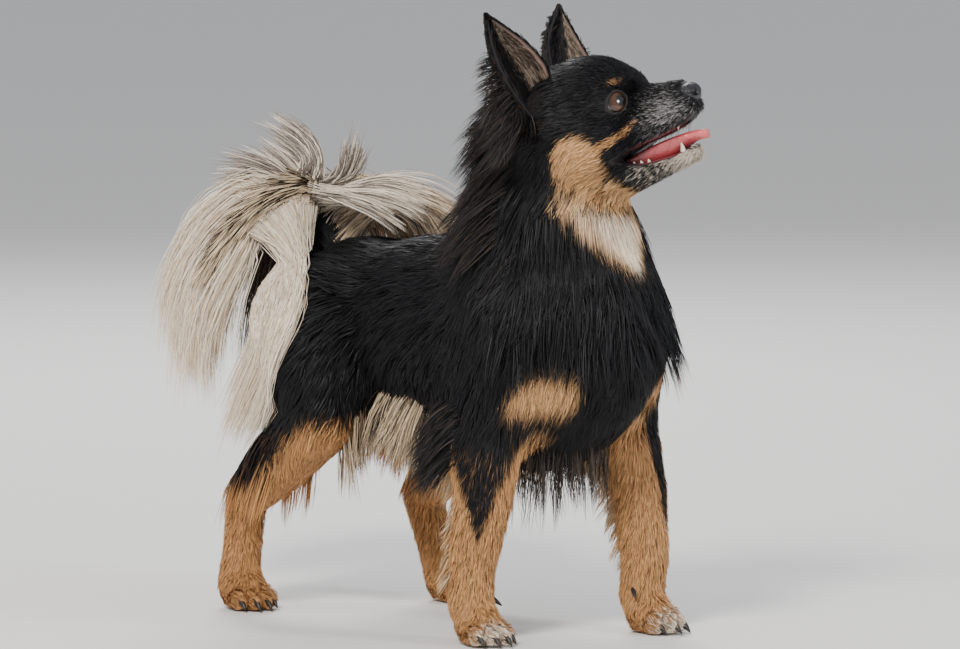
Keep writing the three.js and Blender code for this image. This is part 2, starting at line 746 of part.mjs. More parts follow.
// Tail
// A round limb through stations [x, y, z, radius], as rings along a smooth curve.
function taperedTube(list, rings = 14, sides = 8) {
  const curve = new THREE.CatmullRomCurve3(list.map(([x, y, z]) => new THREE.Vector3(x, y, z)));
  const frames = curve.computeFrenetFrames(rings);
  const positions = [];
  for (let i = 0; i <= rings; i++) {
    const t = (i / rings) * (list.length - 1);
    const k = Math.min(list.length - 2, Math.floor(t));
    const radius = mix(list[k][3], list[k + 1][3], t - k);
    const middle = curve.getPoint(i / rings).toArray();
    for (let j = 0; j < sides; j++) {
      const a = (j / sides) * Math.PI * 2;
      const side = add(middle, frames.normals[i].toArray(), radius * Math.cos(a));
      positions.push(...add(side, frames.binormals[i].toArray(), radius * Math.sin(a)));
    }
  }
  const at = (i, j) => i * sides + (j % sides);
  const faces = [];
  for (let i = 0; i < rings; i++)
    for (let j = 0; j < sides; j++)
      faces.push(at(i, j), at(i, j + 1), at(i + 1, j + 1), at(i, j), at(i + 1, j + 1), at(i + 1, j));
  for (let j = 1; j < sides - 1; j++) {
    faces.push(at(0, 0), at(0, j + 1), at(0, j));
    faces.push(at(rings, 0), at(rings, j), at(rings, j + 1));
  }
  return new THREE.BufferGeometry()
    .setAttribute("position", new THREE.Float32BufferAttribute(positions, 3))
    .setIndex(faces);
}
const trunkSwollen = solid(
  surfaceOf(
    swollen(bodyForm, 1),
    stations(-170, 130, TRUNK_CELL),
    stations(-79.9, 79.9, TRUNK_CELL),
    stations(60, 290, TRUNK_CELL),
  ),
);
const tailCore = largest(cut(solid(taperedTube(TAIL)), trunkSwollen));

// Locks
const chance = seeded(7);
const spread = (amount) => (chance() - 0.5) * 2 * amount;

function ruffLocks() {
  const specs = [];
  for (const [z, reach, count] of [[132, 34, 6], [160, 36, 7], [186, 34, 8], [210, 28, 8]])
    for (let i = 0; i < count; i++) {
      const a = rad(-128 + (256 * (i + 0.5 + spread(0.25))) / count);
      const from = [z > 190 ? 46 : 52, 0, z + spread(4)];
      const root = leaving(wholeForm, from, [Math.cos(a), Math.sin(a), 0]);
      if (heightOver(NECK_CUT, root) < 9 || heightOver(HEAD_CUT, root) > -7) continue;
      specs.push({
        root,
        lie: [-0.2 + spread(0.15), spread(0.2), -1],
        length: reach * (1 + spread(0.15)),
        rise: 0.3,
        clear: 3.4 + spread(0.8),
        width: 17 + spread(2),
        thickness: 2.4,
      });
    }
  return specs;
}

function bellyLocks() {
  const specs = [];
  for (let i = 0; i < 5; i++)
    for (const side of [-1, 1]) {
      const x = -70 + i * 19 + spread(3);
      const root = leaving(wholeForm, [x, side * 26, 140], [0, side * 0.35, -1]);
      specs.push({
        root,
        lie: [-0.45 + spread(0.2), side * 0.1 + spread(0.15), -1],
        length: 36 + spread(6),
        rise: 0.1,
        clear: 2.4,
        width: 15,
        thickness: 2.4,
      });
    }
  for (let i = 0; i < 4; i++) {
    const root = leaving(wholeForm, [22 + i * 13, 0, 140], [0, spread(0.3), -1]);
    if (heightOver(NECK_CUT, root) > -8) continue;
    specs.push({
      root,
      lie: [-0.1 + spread(0.2), spread(0.15), -1],
      length: 27 + spread(5),
      clear: 2.4,
      width: 11,
      thickness: 2.2,
    });
  }
  return specs;
}

function featherLocks(name) {
  const specs = [];
  const fore = name.startsWith("fore");
  const side = Math.sign(PAWS[name].at[1]);
  const bone = fore
    ? [[40, side * 44, 90], [38, side * 46, 66]]
    : [[-104, side * 38, 100], [-116, side * 43, 84]];
  bone.forEach((from, level) => {
    const spreadOut = fore ? [0, 0.8] : [-0.4, 0.3, 0.9];
    for (const out of spreadOut) {
      const root = leaving(wholeForm, from, [-1, side * out, 0]);
      const top = fore ? 92 : 104;
      if (root[2] > top) continue;
      specs.push({
        root,
        lie: fore ? [-0.7, side * 0.15 * out, -1] : [-0.45, side * 0.1 * out, -1],
        length: (fore ? [38, 22] : [34, 24])[level] * (1 + spread(0.12)),
        rise: 0.25,
        clear: 2.2,
        width: fore ? 8 : 10,
        thickness: 1.8,
      });
    }
  });
  return specs;
}

// The plume rises from the tail's curl like a fountain: most of it falls back and down on the dog's
// right, some stands up and some lies forwards over the back.
const PLUME = [
  {
    count: 5,
    from: [0.55, 0.82],
    via: [[-176, -14, 216], [-172, -44, 204]],
    tips: [[-196, -22, 168], [-166, -62, 88]],
  },
  {
    count: 4,
    from: [0.84, 1],
    via: [[-160, -54, 190], [-142, -54, 190]],
    tips: [[-156, -66, 94], [-126, -62, 116]],
  },
  {
    count: 2,
    from: [0.4, 0.58],
    via: [[-150, -12, 234], [-138, -10, 236]],
    tips: [[-172, -22, 242], [-130, -10, 254]],
  },
  {
    count: 2,
    from: [0.28, 0.44],
    via: [[-108, -14, 226], [-106, 6, 224]],
    tips: [[-66, -22, 206], [-58, 10, 208]],
  },
  {
    count: 2,
    from: [0.26, 0.46],
    via: [[-160, 10, 206], [-168, -2, 214]],
    tips: [[-170, 24, 168], [-192, -4, 176]],
  },
];
function plumeLocks() {
  const bone = new THREE.CatmullRomCurve3(TAIL.map(([x, y, z]) => new THREE.Vector3(x, y, z)));
  return PLUME.flatMap(({ count, from, via, tips }) =>
    [...Array(count)].map((_, i) => {
      const t = i / (count - 1);
      const nudge = (p) => add(p, [spread(2.5), spread(2.5), spread(4)]);
      return {
        root: bone.getPoint(mix(from[0], from[1], t)).toArray(),
        via: nudge(mix3(via[0], via[1], t)),
        tip: nudge(mix3(tips[0], tips[1], t)),
        clear: 3.2,
        width: 20 + spread(2),
        thickness: 3,
      };
    }),
  );
}

function earLocks(side) {
  return [[-0.35, 22], [-0.1, 24], [0.2, 22]].map(([back, length]) => {
    const root = leaving(skullLocal, [-18, 0, 2], [-0.55 + back, side, 0.1]);
    return {
      root: fromHead(root),
      lie: [-0.55, side * 0.1, -1],
      length,
      rise: 0.4,
      clear: 3,
      width: 9,
      thickness: 2,
    };
  });
}

const fleshNodes = {
  head: headPlaced,
  neck,
  torso,
  ...legs,
  tail: tailCore,
  jaw: jawPlaced,
  ear_right: ears.right,
  ear_left: ears.left,
};
const lockPlans = {
  neck: ruffLocks(),
  head: [...earLocks(RIGHT), ...earLocks(LEFT)],
  torso: bellyLocks(),
  ...Object.fromEntries(legNames.map((name) => [name, featherLocks(name)])),
  tail: plumeLocks(),
};
for (const [node, specs] of Object.entries(lockPlans)) {
  const others = Object.entries(fleshNodes).filter(([name]) => name !== node).map(([, body]) => body);
  for (const lock of growLocks(node, specs, others)) {
    const joined = settled(join(fleshNodes[node], lock));
    if (joined) fleshNodes[node] = joined;
  }
}

// Materials
const paint = (color, roughness) => () =>
  new THREE.MeshStandardMaterial({ color, roughness, metalness: 0 });
const black = paint(0x17181c, 0.75);
const tan = paint(0xb9794a, 0.8);
const cream = paint(0xd8cdbd, 0.8);
const wet = paint(0x26272c, 0.35);
const eyeBrown = paint(0x2a1409, 0.08);
const pink = paint(0xc4545c, 0.35);
const looks = {
  head: black,
  jaw: cream,
  neck: black,
  torso: black,
  tail: cream,
  foreleg_right: tan,
  foreleg_left: tan,
  hindleg_right: tan,
  hindleg_left: tan,
  ear_right: black,
  ear_left: black,
};

const placed = {};
for (const [name, look] of Object.entries(looks)) placed[name] = [fleshNodes[name], look];
placed.nose = [headTransform(noseLocal), wet];
placed.tongue = [headTransform(largest(cut(tongueLocal, headSwollen))), pink];
for (const [name, at] of Object.entries(eyes))
  placed[`eye_${name}`] = [headTransform(ball(at, EYE_R)), eyeBrown];

// The origin is the middle of the bounding box, on the floor.
const boxes = Object.values(placed).map(([body]) => body.boundingBox());
const low = [0, 1, 2].map((i) => Math.min(...boxes.map((box) => box.min[i])));
const high = [0, 1, 2].map((i) => Math.max(...boxes.map((box) => box.max[i])));
const move = [-(low[0] + high[0]) / 2, -(low[1] + high[1]) / 2, -low[2]].map(
  (value) => Math.round(value * SNAP) / SNAP,
);

const group = new THREE.Group();
group.name = "chihuahua";
for (const [name, [body, look]] of Object.entries(placed)) {
  const whole = largest(solid(geometryOf(body.translate(move)), 1e-3));
  const mesh = new THREE.Mesh(geometryOf(whole), look());
  mesh.name = name;
  group.add(mesh);
}

export default group;
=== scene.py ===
"""A long-haired chihuahua as a museum model: skin, coat, plume, eyes, ears, mouth and claws.

Everything is worked out in millimetres in the dog's own frame (+X forwards, +Y its left, floor at z = 0)
and moved into the row frame, in metres, as each mesh is made.
"""
import math
import bpy
import numpy as np
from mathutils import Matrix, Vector
from mathutils.kdtree import KDTree


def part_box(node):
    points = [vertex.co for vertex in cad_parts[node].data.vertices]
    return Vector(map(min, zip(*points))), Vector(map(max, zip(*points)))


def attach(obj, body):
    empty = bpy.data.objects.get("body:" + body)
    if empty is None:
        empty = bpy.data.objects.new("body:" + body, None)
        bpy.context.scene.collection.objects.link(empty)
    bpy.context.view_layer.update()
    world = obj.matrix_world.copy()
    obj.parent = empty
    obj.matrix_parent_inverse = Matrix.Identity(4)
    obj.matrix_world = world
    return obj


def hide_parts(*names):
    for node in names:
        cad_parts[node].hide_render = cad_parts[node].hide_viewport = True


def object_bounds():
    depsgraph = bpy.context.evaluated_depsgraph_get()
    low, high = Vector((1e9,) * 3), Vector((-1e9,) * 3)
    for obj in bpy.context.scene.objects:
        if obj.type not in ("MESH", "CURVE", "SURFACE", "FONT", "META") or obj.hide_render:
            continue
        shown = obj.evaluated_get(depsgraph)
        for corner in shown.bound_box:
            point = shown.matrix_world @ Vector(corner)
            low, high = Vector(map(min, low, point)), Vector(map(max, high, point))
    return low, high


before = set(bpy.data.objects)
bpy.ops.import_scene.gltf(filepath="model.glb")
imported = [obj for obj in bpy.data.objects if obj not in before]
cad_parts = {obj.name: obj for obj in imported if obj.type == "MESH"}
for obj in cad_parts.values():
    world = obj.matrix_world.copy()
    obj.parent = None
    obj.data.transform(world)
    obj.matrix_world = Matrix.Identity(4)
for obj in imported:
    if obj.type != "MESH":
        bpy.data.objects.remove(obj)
CAD_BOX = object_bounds()
rng = np.random.default_rng(41)
THIN_OUT = 1

# The dog's frame in the row frame: the hind legs' solids end 38 mm behind its origin and the right
# foreleg's solid 24 mm to the right of it.
MM = 0.001
SHIFT = np.array([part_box("hindleg_left")[1][0] / MM + 38.0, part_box("foreleg_right")[1][1] / MM + 24.0, 0.0])

# Driving dimensions, as the solids have them
WITHERS, CROUP, STERNUM, CHEST_HALF = 203.0, 189.0, 82.0, 47.0
FORE_X, HIP_X, STANCE = 46.0, -100.0, 46.0
HEAD_AT = np.array([60.0, 3.0, 257.0])
HEAD_TURN, HEAD_LIFT = math.radians(30), math.radians(20)
NOSE_AT, EYE_R = (56.0, 0.0, -7.6), 9.5
EYE_AT = (21.0, 18.5, -1.0)
EAR_ROOT, EAR_TIP = (-8.0, 27.0, 12.0), (-13.0, 53.0, 56.0)
SIDES = {"right": -1, "left": 1}

# Colours of the coat, linear
BLACK = np.array([0.0062, 0.0062, 0.0078])
SOOT = np.array([0.028, 0.020, 0.016])
TAN = np.array([0.56, 0.265, 0.092])
PALE_TAN = np.array([0.74, 0.44, 0.205])
CREAM = np.array([0.84, 0.65, 0.44])
SILVER = np.array([0.44, 0.42, 0.41])
WHITE = np.array([0.92, 0.80, 0.66])
PLUME_GREY = np.array([0.20, 0.165, 0.145])


# Forms: distances from points to surfaces, negative inside

def ellipsoid(p, at, radii, tilt=0.0):
    q = p - np.asarray(at, p.dtype)
    if tilt:
        c, s = math.cos(math.radians(tilt)), math.sin(math.radians(tilt))
        q = np.stack([q[:, 0] * c + q[:, 2] * s, q[:, 1], q[:, 2] * c - q[:, 0] * s], axis=1)
    q = q / np.asarray(radii, p.dtype)
    k0 = np.sqrt((q * q).sum(1))
    q = q / np.asarray(radii, p.dtype)
    return k0 * (k0 - 1) / np.maximum(np.sqrt((q * q).sum(1)), 1e-9)


def limb(p, *stations):
    least = np.full(len(p), 1e3, p.dtype)
    for a, b in zip(stations, stations[1:]):
        start = np.asarray(a[:3], p.dtype)
        d = np.asarray(b[:3], p.dtype) - start
        q = p - start
        t = np.clip(q @ d / (d @ d), 0, 1)
        reach = np.sqrt(((q - t[:, None] * d) ** 2).sum(1)) - a[3] - t * (b[3] - a[3])
        np.minimum(least, reach, out=least)
    return least


def blend(width, *values):
    total = values[0]
    for value in values[1:]:
        h = np.clip(0.5 + 0.5 * (value - total) / width, 0, 1)
        total = mix(value, total, h) - width * h * (1 - h)
    return total


def mirrored(p):
    q = p.copy()
    q[:, 1] = np.abs(q[:, 1])
    return q


def mix(a, b, t):
    return a + (b - a) * t


def unit(v):
    v = np.asarray(v, float)
    return v / np.maximum(np.linalg.norm(v, axis=-1, keepdims=True), 1e-9)


def smooth(low, high, value):
    t = np.clip((value - low) / (high - low), 0, 1)
    return t * t * (3 - 2 * t)


def trunk(p):
    q = mirrored(p)
    middle, depth = (WITHERS + STERNUM) / 2, (WITHERS - STERNUM) / 2
    torso = blend(
        16,
        ellipsoid(p, (30, 0, middle), (64, CHEST_HALF, depth)),
        ellipsoid(p, (-38, 0, middle + 4), (68, CHEST_HALF - 5, 47)),
        ellipsoid(p, (HIP_X, 0, CROUP - 43), (43, CHEST_HALF - 6, 43)),
        ellipsoid(q, (48, 33, 140), (25, 17, 42), -12),
        ellipsoid(q, (HIP_X - 2, 31, 128), (33, 20, 42), 14),
    )
    neck = blend(
        14,
        limb(p, (34, 0, 168, 45), (44, 0, 204, 38), (50, 0, 232, 29)),
        ellipsoid(p, (68, 3, 156), (31, 38, 46), 8),
    )
    return blend(14, torso, neck)


PAWS = {
    "foreleg_right": dict(at=(42.0, -STANCE), turn=-6, length=1.0),
    "foreleg_left": dict(at=(62.0, STANCE + 1), turn=10, length=1.0),
    "hindleg_right": dict(at=(-137.0, -STANCE - 6), turn=-8, length=0.95),
    "hindleg_left": dict(at=(-92.0, STANCE + 1), turn=8, length=0.95),
}
TOE_SIDES = (-9.0, -3.2, 3.2, 9.0)


def paw_point(name, forward, side, up):
    x, y = PAWS[name]["at"]
    c, s = math.cos(math.radians(PAWS[name]["turn"])), math.sin(math.radians(PAWS[name]["turn"]))
    return (x + forward * c - side * s, y + forward * s + side * c, up)


def paw(p, name):
    length = PAWS[name]["length"]
    toes = [
        ellipsoid(p, paw_point(name, (8 if abs(side) > 5 else 13) * length, side, 5.2), (6.4, 3.5, 6.4))
        for side in TOE_SIDES
    ]
    return blend(2, ellipsoid(p, paw_point(name, 0, 0, 8), (12, 11.5, 11)), *toes)


def foreleg(p, name):
    side = -1 if "right" in name else 1
    px, py = PAWS[name]["at"]
    knee = 0 if side < 0 else 3
    bone = limb(
        p,
        (52, side * 34, 150, 22),
        (FORE_X - 4, side * (STANCE - 3), 104, 19),
        (mix(FORE_X, px, 0.45), mix(side * STANCE, py, 0.45), 70, 14),
        (px - 7 + knee, py, 36, 11.6),
        (px - 7, py, 18, 10.8),
    )
    return blend(5, bone, paw(p, name))


def hindleg(p, name):
    near = "right" in name
    side = -1 if near else 1
    px, py = PAWS[name]["at"]
    hip = np.array([HIP_X, side * 30, 146.0])
    stifle = np.array([-80, -STANCE, 103.0] if near else [-64, STANCE, 102.0])
    hock = np.array([-141, -STANCE - 2, 55.0] if near else [-116, STANCE + 2, 52.0])
    bone = limb(
        p,
        (*hip, 33),
        (*mix(hip, stifle, 0.6), 27),
        (*stifle, 18),
        (*mix(stifle, hock, 0.55), 15.5),
        (*hock, 10.2),
        (mix(hock[0], px - 5, 0.6), mix(hock[1], py, 0.6), 28, 9.6),
        (px - 5, py, 14, 10.4),
    )
    return blend(5, bone, paw(p, name))


def body(p):
    legs = [foreleg(p, n) if n.startswith("fore") else hindleg(p, n) for n in PAWS]
    return blend(9, trunk(p), *legs)


TURN = np.array([
    [
        math.cos(HEAD_TURN) * math.cos(HEAD_LIFT), -math.sin(HEAD_TURN),
        -math.cos(HEAD_TURN) * math.sin(HEAD_LIFT),
    ],
    [
        math.sin(HEAD_TURN) * math.cos(HEAD_LIFT), math.cos(HEAD_TURN),
        -math.sin(HEAD_TURN) * math.sin(HEAD_LIFT),
    ],
    [math.sin(HEAD_LIFT), 0.0, math.cos(HEAD_LIFT)],
])


def into_head(p):
    return (p - HEAD_AT) @ TURN


def from_head(p):
    return np.asarray(p) @ TURN.T + HEAD_AT


def skull(p):
    q = mirrored(p)
    return blend(
        7,
        ellipsoid(p, (-4, 0, -3), (36, 34, 29.5)),
        ellipsoid(p, (10, 0, -1), (24, 26, 26)),
        ellipsoid(p, (-8, 0, -27), (15, 21, 17)),
        ellipsoid(q, (23, 12, 6), (9, 8, 6)),
        ellipsoid(q, (17, 18, -3), (12, 10, 11)),
        ellipsoid(q, (4, 20, -17), (20, 13, 16)),
        limb(q, (22, 7, -13, 12), (38, 5, -13, 8.6), (51, 3.4, -12, 7.4)),
        limb(p, (30, 0, -5, 8.5), (54, 0, -7, 6.4)),
        limb(q, (22, 10, -16, 8.4), (40, 6.4, -17, 6.8), (50, 4.6, -15.4, 6.2)),
    )


def jaw(p):
    q = mirrored(p)
    return blend(
        4,
        limb(q, (2, 14, -31, 8), (24, 8.5, -36, 5.6), (48, 3.4, -35.4, 4.2)),
        limb(p, (6, 0, -37, 9), (24, 0, -38, 5.5), (48.5, 0, -36, 4.0)),
    )


# The mouth's opening runs from its corner to the front between these heights of the lips, and rises
# into a vault between the cheeks.
LIP_X = [15.5, 20.0, 27.0, 41.0, 50.0, 56.0, 60.0]
UPPER_LIP = [-27.6, -25.6, -24.0, -23.2, -21.6, -18.4, -15.0]
LOWER_LIP = [-28.2, -31.0, -33.2, -33.9, -32.6, -31.6, -31.0]


def mouth(p):
    x, z = p[:, 0], p[:, 2]
    upper, lower = np.interp(x, LIP_X, UPPER_LIP), np.interp(x, LIP_X, LOWER_LIP)
    wedge = np.maximum(np.maximum(z - upper, lower - z), LIP_X[0] - x) * 0.9
    vault = limb(p, (24, 0, -26, 5.0), (36, 0, -23, 5.2), (48, 0, -21.5, 3.6))
    floor = limb(p, (24, 0, -32, 4.5), (46, 0, -34, 3.0))
    return np.minimum(wedge, np.minimum(vault, floor))


def eye_place(side):
    return np.array([EYE_AT[0], EYE_AT[1] * side, EYE_AT[2]])


def eye_out(side):
    out = np.array([0.74, 0.64 * side, 0.16])
    return out / np.linalg.norm(out)


def eye_opening(p, side):
    """The gap between the lids: an almond seen along the eye's outward line."""
    out = eye_out(side)
    level = unit(np.cross([0, 0, 1.0], out)) * side
    q = p - eye_place(side)
    a, b, h = q @ level, q @ np.cross(level, out) * side, q @ out
    b = b - 2.0 - 0.16 * a
    almond = ((np.abs(a) / 5.6) ** 1.7 + (np.abs(b) / np.where(b > 0, 4.7, 4.6)) ** 1.7) ** (1 / 1.7)
    return np.maximum((almond - 1) * 4.4, 2 - h)


def carve(width, flesh, hollow):
    return -blend(width, -flesh, hollow)


FACE_DEPTH = 1.0


def head_skin(p):
    """The hide of the head in its own frame, with lids, sockets, mouth and the neck below it."""
    world = from_head(p)
    flesh = blend(5, skull(p), jaw(p)) + FACE_DEPTH
    low = world[:, 2] < 268
    under = np.full(len(p), 60.0, p.dtype)
    under[low] = body(world[low]) + coat_depth(world[low])
    flesh = blend(6, flesh, under)
    for side in SIDES.values():
        reach = np.linalg.norm(p - eye_place(side), axis=1)
        near = reach < 16
        lids = blend(2.6, flesh[near], reach[near] - EYE_R - 1.3)
        lids = carve(0.4, lids, reach[near] - EYE_R + 0.05)
        flesh[near] = carve(0.7, lids, eye_opening(p[near], side))
    return carve(1.0, flesh, mouth(p))


def outer(p):
    """The outside of the combed coat: the flesh of the solids, with the lids over the eyes."""
    q = into_head(p)
    face = blend(4, skull(q), jaw(q))
    for side in SIDES.values():
        reach = np.linalg.norm(q - eye_place(side), axis=1)
        near = reach < 16
        face[near] = blend(2.6, face[near], reach[near] - EYE_R - 1.9)
    return blend(6, body(p), face)


HEAD_CUT_AT, HEAD_CUT_UP = np.array([52.0, 0, 222.0]), np.array([0.29, 0.17, 0.94])
NECK_CUT_AT, NECK_CUT_TO = np.array([22.0, 0, 204.0]), np.array([0.84, 0, 0.545])


def over_head_cut(p):
    return (p - HEAD_CUT_AT) @ (HEAD_CUT_UP / np.linalg.norm(HEAD_CUT_UP))


def over_neck_cut(p):
    return (p - NECK_CUT_AT) @ (NECK_CUT_TO / np.linalg.norm(NECK_CUT_TO))


def coat_depth(p):
    """How far the hide lies under the outside of the coat."""
    depth = mix(4.2, 6.5, smooth(-25, 10, over_neck_cut(p)))
    depth = mix(1.4, depth, smooth(78, 122, p[:, 2]))
    return mix(depth, FACE_DEPTH, smooth(-6, 10, over_head_cut(p)))


def slope(form, p, step=0.5):
    g = np.zeros((len(p), 3))
    for corner in ((1, -1, -1), (-1, -1, 1), (-1, 1, -1), (1, 1, 1)):
        k = np.array(corner, float)
        g += k * form(p + k * step)[:, None]
    return g / (4 * step)


# Meshes from forms

def surface(form, xs, ys, zs, tidy=2):
    """Vertices and outward quads of a form's surface: one vertex in each crossed cell of the grid."""
    grid = [np.asarray(g, np.float32) for g in (xs, ys, zs)]
    shape = [len(g) for g in grid]
    points = np.stack(np.meshgrid(*grid, indexing="ij"), axis=-1).reshape(-1, 3)
    value = np.concatenate([form(part) for part in np.array_split(points, max(1, len(points) // 200000))])
    value = value.reshape(shape).astype(np.float32)
    value[[0, -1]] = np.maximum(value[[0, -1]], 0.05)
    value[:, [0, -1]] = np.maximum(value[:, [0, -1]], 0.05)
    value[:, :, [0, -1]] = np.maximum(value[:, :, [0, -1]], 0.05)
    cells = [n - 1 for n in shape]
    total = np.zeros((*cells, 3), np.float32)
    count = np.zeros(cells, np.float32)
    crossed = []
    for axis in range(3):
        first = [slice(None)] * 3
        second = [slice(None)] * 3
        first[axis], second[axis] = slice(0, -1), slice(1, None)
        a, b = value[tuple(first)], value[tuple(second)]
        crossing = (a < 0) != (b < 0)
        crossed.append((crossing, a < 0))
        index = np.argwhere(crossing)
        t = a[crossing] / (a[crossing] - b[crossing])
        place = np.stack([grid[m][index[:, m]] for m in range(3)], axis=1)
        place[:, axis] += t * (grid[axis][index[:, axis] + 1] - grid[axis][index[:, axis]])
        u, v = (axis + 1) % 3, (axis + 2) % 3
        for du in (0, 1):
            for dv in (0, 1):
                cell = index.copy()
                cell[:, u] -= du
                cell[:, v] -= dv
                ok = (cell >= 0).all(1) & (cell < cells).all(1)
                np.add.at(total, tuple(cell[ok].T), place[ok])
                np.add.at(count, tuple(cell[ok].T), 1)
    number = np.full(cells, -1, np.int64)
    used = count > 0
    number[used] = np.arange(used.sum())
    vertices = (total[used] / count[used][:, None]).astype(float)
    for _ in range(tidy):
        g = slope(form, vertices, 0.3)
        pull = form(vertices) / np.maximum((g * g).sum(1), 0.2)
        vertices -= np.clip(pull, -0.4, 0.4)[:, None] * g
    quads = []
    for axis, (crossing, inside) in enumerate(crossed):
        index = np.argwhere(crossing)
        u, v = (axis + 1) % 3, (axis + 2) % 3
        index = index[
            (index[:, u] > 0) & (index[:, v] > 0) & (
                index[:, u] < shape[u] - 1
            ) & (index[:, v] < shape[v] - 1)
        ]
        corners = []
        for du, dv in ((0, 0), (-1, 0), (-1, -1), (0, -1)):
            cell = index.copy()
            cell[:, u] += du
            cell[:, v] += dv
            corners.append(number[tuple(cell.T)])
        quad = np.stack(corners, axis=1)
        flip = ~inside[tuple(index.T)]
        quad[flip] = quad[flip][:, ::-1]
        quads.append(quad)
    return vertices, np.concatenate(quads)


def mesh_object(name, vertices, faces, sizes=None, smooth_shading=True):
    """A mesh object in the row frame from millimetres in the dog's frame. Faces are rows of one width,
    or a flat list of corners with the size of each face."""
    vertices = np.array(vertices, float)
    vertices[:, 2] = np.maximum(vertices[:, 2], 0.2)
    vertices = (vertices + SHIFT) * MM
    corners = np.asarray(faces).reshape(-1)
    if sizes is None:
        sizes = np.full(len(faces), np.asarray(faces).shape[1])
    mesh = bpy.data.meshes.new(name)
    mesh.vertices.add(len(vertices))
    mesh.vertices.foreach_set("co", vertices.reshape(-1).astype(np.float32))
    mesh.loops.add(len(corners))
    mesh.loops.foreach_set("vertex_index", corners.astype(np.int32))
    mesh.polygons.add(len(sizes))
    starts = np.concatenate([[0], np.cumsum(sizes)[:-1]])
    mesh.polygons.foreach_set("loop_start", starts.astype(np.int32))
    mesh.update(calc_edges=True)
    mesh.polygons.foreach_set("use_smooth", np.full(len(sizes), smooth_shading))
    mesh.validate()
    piece = bpy.data.objects.new(name, mesh)
    bpy.context.scene.collection.objects.link(piece)
    return piece


def paint(piece, colours, name="Coat"):
    layer = piece.data.color_attributes.new(name, "FLOAT_COLOR", "POINT")
    rgba = np.ones((len(colours), 4), np.float32)
    rgba[:, :3] = colours
    layer.data.foreach_set("color", rgba.reshape(-1))


def lay_uv(piece, uv):
    layer = piece.data.uv_layers.new(name="OFBake")
    corner = np.empty(len(piece.data.loops), np.int32)
    piece.data.loops.foreach_get("vertex_index", corner)
    layer.data.foreach_set("uv", uv[corner].astype(np.float32).reshape(-1))


# Markings of hide and coat

def noise(p, scale, seed=0.0):
    """A cheap smooth wobble from -1 to 1."""
    q = p / scale + seed
    return (
        np.sin(q[:, 0] * 1.7 + 1.3 * np.sin(q[:, 1] * 1.1 + seed))
        + np.sin(q[:, 1] * 2.1 + 1.7 * np.sin(q[:, 2] * 0.9))
        + np.sin(q[:, 2] * 1.9 + 1.1 * np.sin(q[:, 0] * 1.3))
    ) / 3


def spot(p, at, radii, soft=0.35):
    q = (p - np.asarray(at)) / np.asarray(radii)
    return 1 - smooth(1 - soft, 1 + soft, np.sqrt((q * q).sum(1)))


